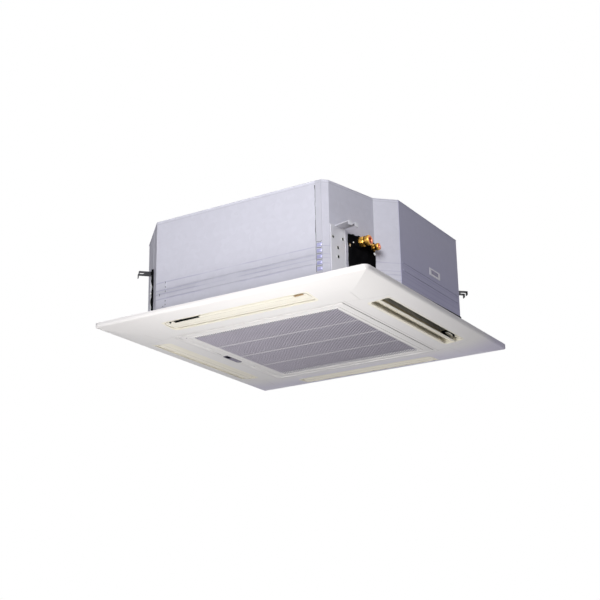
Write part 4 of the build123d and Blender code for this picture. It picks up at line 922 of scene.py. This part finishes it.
class BuildCasingTrim(bpy.types.Operator):
    """Rolled hem under the lid, seam, crimps, tab marks, a black band of painted shadow at the foot and
    the left corner's dark strip
    """

    bl_idname = "cassette.build_casing_trim"
    bl_label = "Casing trim"

    def execute(self, context):
        self.hem()
        self.seam()
        self.crimps()
        self.foot_shadow("side", np.array([*OUTLINE[4:], (-WALL, -278.0)]), 69.8)
        self.foot_shadow("front", OUTLINE[:3], 50.3)
        self.corner_strip()
        self.tab_marks()
        return {"FINISHED"}

    def hem(self):
        """Bead of radius 1.3 mm along the casing's outline, with mitred corners, just under the lid."""
        run = walk(np.concatenate((OUTLINE, OUTLINE[:1])), 12)
        path = np.column_stack((run, np.full(len(run), HEM_HEIGHT)))
        Surface().tube(ring_along(path, 1.3, 12)).make("casing_hem", "unit", "zinc_steel")

    def seam(self):
        """Dark joint beside the front strip: a ribbon whose middle wanders by sines of the height."""
        z = np.linspace(58, 322, 120)
        x = SEAM_X + 0.5 * np.sin(z / 11) + 0.35 * np.sin(z / 4.3)
        rings = pipe_along(stacked(x, -WALL - 0.6, z), 0.85 + 0.3 * np.sin(z / 23), 10)
        Surface().bar(rings).make("casing_seam", "unit", "motor_steel")

    def crimps(self):
        """Five pressed crimps on the strip: height = 2.2 (1 - |u|^3) (1 - v^2) over each pillow."""
        made = Surface()
        u, v = square(18, 10)
        rise = 2.2 * (1 - np.abs(u) ** 3) * (1 - v**2)
        made.copies(stacked(297.5 + 8.5 * u, -SKIN - rise, 5.2 * v), [(0, 0, z) for z in CRIMP_LEVELS])
        # the crimps are coloured in painted bluish shade
        made.make("seam_crimps", "unit", "zinc_steel", finish="crimp_blue")
        lines = Surface()
        x = np.linspace(288.6, 306.4, 20)
        for z in CRIMP_LEVELS:
            path = stacked(x, -SKIN, z + CRIMP_GAP + 0.9 * np.sin((x - 288) / 2.6))
            lines.bar(pipe_along(path, 0.7, 8))
        lines.make("crimp_lines", "unit", "motor_steel")

    def foot_shadow(self, name, corners, level):
        """Black band round the casing's foot, a painted shadow of the gap above the panel; its top rises
        by 6.5 t^2 along the right face.
        """
        path = np.concatenate((walk(corners, 24), corners[-1:]))
        outward = path / np.linalg.norm(path, axis=1, keepdims=True)
        s = np.arange(len(path))
        t = np.clip((path[:, 1] + 160.0) / 400.0, 0, 1) * (path[:, 0] > 410.0)
        top = level + 0.5 * np.sin(s / 5.1) + 0.3 * np.sin(s / 2.3) + 6.5 * t**2
        inner, outer = path - outward, path + outward * 3.0
        low = np.full(len(path), 42.0)
        rows = ((inner, low), (outer, low), (outer, top), (inner, top + 1.0))
        band = np.stack([np.column_stack(row) for row in rows], axis=1)
        # painted shadow: a black band in the seal's finish at the casing's foot
        Surface().bar(band).make(f"foot_seal_{name}", "unit", "seal_black", smooth=False)

    def corner_strip(self):
        """Dark foam strip beside the left hanger plate: a bar that bulges and thins by sines."""
        z = np.linspace(44, 206, 60)
        path = stacked(0.6, 29.0 + 1.6 * np.sin(z / 19), z)
        rings = pipe_along(path, 5.5 + 1.4 * np.sin(z / 13) + np.sin(z / 5), 14)
        Surface().bar(on_face(rings, HANGERS["front_left"])).make("corner_strip", "unit", "cover_black")

    def tab_marks(self):
        """Slots and dimples on the tab at the front's left end: flattened domes."""
        marks = [(-243.0, z, 1.1, 3.2) for z in (132.0, 118.0, 104.0, 74.0, 62.0)]
        marks += [(-264.5, 96.0, 1.2, 4.5), (-252.0, 58.0, 3.0, 0.9)]
        rise, across, height = np.moveaxis(dome(1.0, 0.5, rows=5, turn=16), -1, 0)
        made = Surface()
        for x, z, wide, high in marks:
            made.tube(stacked(x + wide * across, -SKIN - rise, z + high * height))
        made.make("tab_marks", "unit", "motor_steel")


class BuildGrilleTeeth(bpy.types.Operator):
    """Pale pips where ribs cross slats, teeth at the back edge, dark notches at both edges, a grey dot"""

    bl_idname = "cassette.build_grille_teeth"
    bl_label = "Grille teeth"

    def execute(self, context):
        pitch = 2 * FIELD_HALF / SLAT_COUNT
        slats = -FIELD_HALF + (np.arange(SLAT_COUNT) + 0.5) * pitch
        gaps = slats + pitch / 2
        back = FIELD_HALF - 2.0
        u, v = square(6, 6)
        swell = np.sqrt(np.clip((1 - u**4) * (1 - v**4), 0, 1))
        pips, notches = Surface(), Surface()
        pip = stacked(2.3 * u, 4.6 * v, 0.15 - 0.9 * swell)
        for y in RIB_ROWS:
            pips.copies(pip, [(x, y, 0.0) for x in slats])
        pips.copies(stacked(2.1 * u, 13.0 * v, 0.15 - 1.1 * swell), [(x, back, 0.0) for x in slats])
        pips.make("grille_pips", "grille", "grille_grey", finish="rib_white")
        notch = stacked(1.7 * u, 4.5 * v, 0.1 - 0.35 * swell)
        notches.copies(notch, [(x, 0.5 - FIELD_HALF, 0.0) for x in gaps])
        notches.copies(notch * (0.85, 2.9, 1.6), [(x, back, 0.0) for x in gaps[:-1]])
        notches.make("grille_notches", "grille", "filter_black")
        rise, x, y = np.moveaxis(dome(2.4, 0.5), -1, 0)
        dot = Surface().tube(stacked(x - 276.0, y - 268.0, 0.1 - rise))
        dot.make("grille_dot", "grille", "receiver_grey", smooth=False)
        return {"FINISHED"}


class BuildGrilleMoulding(bpy.types.Operator):
    """Two raised half-round mouldings round the grille's field, the outer one open at the receiver"""

    bl_idname = "cassette.build_grille_moulding"
    bl_label = "Grille moulding"

    def execute(self, context):
        made = Surface()
        bend = 5.0
        corner = np.linspace(0, np.pi / 2, 7)
        for reach, radius, open_end in ((269.5, 1.2, False), (294.5, 1.7, True)):
            start = reach - bend
            arc = stacked(start + bend * np.cos(corner), start + bend * np.sin(corner), 0.0)
            ring = np.concatenate([turn_plan(arc, 90 * k) for k in range(4)])
            path = walk(np.concatenate((ring, ring[:1])), 10)
            bead = ring_along(path, radius, 10)
            if open_end:
                keep = ~((path[:, 0] < -280) & (path[:, 1] > -42) & (path[:, 1] < 62))
                order = np.roll(np.arange(len(path)), -int(np.argmin(keep)))
                bead = bead[:-1][order][keep[order]]
            made.grid(bead, wrap=True, caps=open_end)
        made.make("grille_moulding", "grille", "panel_white")
        return {"FINISHED"}


class BuildLouvreTrim(bpy.types.Operator):
    """Ribs on every flap, lips and painted shade of slits on the front one, end plate and hook at the
    right outlet
    """

    bl_idname = "cassette.build_louvre_trim"
    bl_label = "Louvre trim"

    def execute(self, context):
        self.lines()
        self.lip()
        self.slots()
        self.end_plate()
        self.hook()
        return {"FINISHED"}

    def lines(self):
        """Two thin ribs along each flap, set by the flap's own angle about its pivot."""
        y = np.linspace(-240, 240, 40)
        for side, turn in SIDES.items():
            made = Surface()
            for reach in (-15.0, 12.0):
                path = on_flap(side, reach, y, crown_height(reach))
                made.bar(turn_plan(pipe_along(path, 0.55, 8), turn))
            made.make(f"louvre_lines_{side}", f"louvre_{side}_flap", "motor_beige")

    def lip(self):
        """Cream lips along the front flap's edges; the outer ones leave the slits near both ends open."""
        s = np.linspace(0, 1, 8)[None, :]
        for name, start, end, first, last in (
            ("outer", -117, 210, 20.4, 24.6),
            ("end", -238, -216, 20.4, 24.0),
            ("inner", -236, 236, -33.0, -30.4),
        ):
            y = np.linspace(start, end, 60)[:, None]
            height = crown_height(0.5 * (first + last)) + 0.8 + 0.6 * s**2
            lip = turn_plan(on_flap("front", first + (last - first) * s, y, height), SIDES["front"])
            Surface().grid(lip).make(f"louvre_lip_front_{name}", "louvre_front_flap", "ivory", thick=1.2)

    def slots(self):
        """Painted shade of slits at the ends of the front flap's outer edge: dark strips that follow the
        flap's curve.
        """
        s = np.linspace(0, 1, 8)[None, :]
        for name, start, end, wide, finish in (
            ("left", -214, -124, 9.5, None),
            ("tick", -231, -225, 7.0, None),
            ("right", 206, 237, 8.5, "slot_brown"),
        ):
            y = np.linspace(start, end, 30)[:, None]
            reach = 24.8 - wide * s * (1.15 - 0.3 * (y - start) / (end - start))
            strip = turn_plan(on_flap("front", reach, y, crown_height(reach) - 0.5), SIDES["front"])
            made = Surface().grid(strip)
            # painted shade: dark and brown strips stand for the shade in the slits
            made.make(f"louvre_slot_{name}", "louvre_front_flap", "cover_black", finish=finish, thick=0.6)

    def end_plate(self):
        """Ivory plate above the right flap's far end; its near edge runs 19 mm askew across the outlet."""
        u = np.linspace(0, 1, 16)[:, None]
        v = np.linspace(0, 1, 8)[None, :]
        near = 185.0 - 19.0 * v
        plate = stacked(384.5 + 23.5 * v, near + (242.5 - near) * u, 14.2 + 0.4 * np.sin(9 * u))
        made = Surface().grid(plate)
        made.make("outlet_end_plate", "unit", "ivory", finish="cream_plate", thick=1.4, offset=1.0)

    def hook(self):
        """Flat hook under the end plate: bars through knots in plan that narrow to their tips."""
        made = Surface()
        for knots, start, end in HOOK_BARS:
            x, y = np.array(knots, float).T
            t = np.linspace(0, len(knots) - 1, 30)
            path = stacked(np.interp(t, range(len(knots)), x), np.interp(t, range(len(knots)), y), 0.0)
            rings = pipe_along(path, start + (end - start) * t / t[-1], 12)
            made.bar(rings * (1.0, 1.0, 0.24) + (0.0, 0.0, 12.0))
        made.make("louvre_lever", "unit", "cover_black")


# Area lamps: name, place, what they look at, size, colour; the power is in the stage's settings
LAMPS = (
    ("front", (1.34, -3.2, 0.5), (0, 0, 0), 1.5, (1.0, 1.0, 1.0)),
    ("low", (0.2, -0.85, -1.15), (0.1, -0.15, -0.2), 0.5, (1.0, 0.99, 0.97)),
    ("fill", (2.1, -2.6, -1.0), (0.4, 0, -0.2), 0.6, (1.0, 0.98, 0.95)),
    ("back", (-1.2, 2.6, 1.5), (0, 0, 0), 1.5, (1.0, 1.0, 1.0)),
)
FLOOR_REACH, FLOOR_LEVEL = 9.0, -2.6  # metres


class BuildStage(bpy.types.Operator):
    """Floor, lamps, world and camera"""

    bl_idname = "cassette.build_stage"
    bl_label = "Studio"

    def execute(self, context):
        stage = context.scene.cassette_stage
        context.scene.view_settings.view_transform = "Standard"
        self.make_world(context, stage)
        self.make_floor()
        for lamp in LAMPS:
            self.make_lamp(stage, *lamp)
        self.make_camera(context, stage)
        return {"FINISHED"}

    def make_world(self, context, stage):
        """Even studio light; what the camera and mirrors see of it is white."""
        world = bpy.data.worlds.new("studio")
        context.scene.world = world
        world.use_nodes = True
        world.node_tree.nodes.clear()
        sky = Tree(world.node_tree)
        room = sky.node("ShaderNodeBackground", {"Color": (0.62, 0.58, 1.0), "Strength": stage.room})
        white = sky.node("ShaderNodeBackground", {"Color": (1.0, 1.0, 1.0), "Strength": 1.0})
        mix = sky.node("ShaderNodeMixShader", (sky.directly_seen(), room.outputs[0], white.outputs[0]))
        sky.node("ShaderNodeOutputWorld", {"Surface": mix.outputs[0]})

    def make_floor(self):
        """Pale floor well below the unit, white where the camera looks at it."""
        data = bpy.data.meshes.new("floor")
        signs = ((-1, -1), (1, -1), (1, 1), (-1, 1))
        corners = [(x * FLOOR_REACH, y * FLOOR_REACH, FLOOR_LEVEL) for x, y in signs]
        data.from_pydata(corners, [], [(0, 1, 2, 3)])
        floor = linked("floor", data)
        mat = Mat("floor_white", Roughness=0.9, Base_Color=(0.35, 0.35, 0.36))
        white = mat.node("ShaderNodeEmission", {"Color": (1.0, 1.0, 1.0), "Strength": 1.0})
        pair = (mat.directly_seen() * 0.8, mat.shader.outputs[0], white.outputs[0])
        mix = mat.node("ShaderNodeMixShader", pair)
        mat.fill(mat.tree.nodes["Material Output"].inputs["Surface"], mix.outputs[0])
        data.materials.append(mat.data)

    def make_lamp(self, stage, name, place, target, size, colour):
        """Square area lamp that looks at a point."""
        data = bpy.data.lights.new(name, "AREA")
        data.energy = getattr(stage, f"{name}_lamp")
        data.size = size
        data.color = colour
        lamp = linked(name, data)
        lamp.location = place
        direction = Vector(target) - Vector(place)
        lamp.rotation_euler = direction.to_track_quat("-Z", "Y").to_euler()
        lamp.visible_camera = False

    def make_camera(self, context, stage):
        """Camera at the photograph's place, direction and roll."""
        data = bpy.data.cameras.new("camera")
        data.lens = stage.lens
        data.sensor_width = 36.0
        data.shift_x = stage.shift_x
        data.shift_y = stage.shift_y
        data.clip_end = 100.0
        camera = linked("camera", data)
        a, e = math.radians(stage.azimuth), math.radians(stage.elevation)
        back = Vector((math.sin(a) * math.cos(e), -math.cos(a) * math.cos(e), math.sin(e)))
        turn = (-back).to_track_quat("-Z", "Y").to_matrix().to_4x4()
        roll = Matrix.Rotation(math.radians(stage.roll), 4, "Z")
        camera.matrix_world = Matrix.Translation(Vector(stage.eye)) @ turn @ roll
        context.scene.camera = camera


class CassettePanel(bpy.types.Panel):
    """Lists the steps and settings"""

    bl_idname = "VIEW3D_PT_cassette"
    bl_label = "Cassette"
    bl_space_type = "VIEW_3D"
    bl_region_type = "UI"
    bl_category = "Cassette"

    def draw(self, context):
        for step in STEPS:
            self.layout.operator(step.bl_idname)
        for group in (context.scene.cassette_looks, context.scene.cassette_stage):
            for key in group.__annotations__:
                self.layout.prop(group, key)


STEPS = (
    FinishNodes, BuildNuts, BuildInsulation, BuildHangerTrim, BuildCasingTrim, BuildGrilleTeeth,
    BuildGrilleMoulding, BuildLouvreTrim, BuildStage,
)
GROUPS = (CassetteLooks, CassetteStage)


def register():
    for made in (*GROUPS, *STEPS, CassettePanel):
        bpy.utils.register_class(made)
    bpy.types.Scene.cassette_looks = PointerProperty(type=CassetteLooks)
    bpy.types.Scene.cassette_stage = PointerProperty(type=CassetteStage)


def unregister():
    del bpy.types.Scene.cassette_looks
    del bpy.types.Scene.cassette_stage
    for made in reversed((*GROUPS, *STEPS, CassettePanel)):
        bpy.utils.unregister_class(made)


def main():
    register()
    for step in STEPS:
        group, name = step.bl_idname.split(".")
        getattr(getattr(bpy.ops, group), name)()


if __name__ == "__main__":
    main()
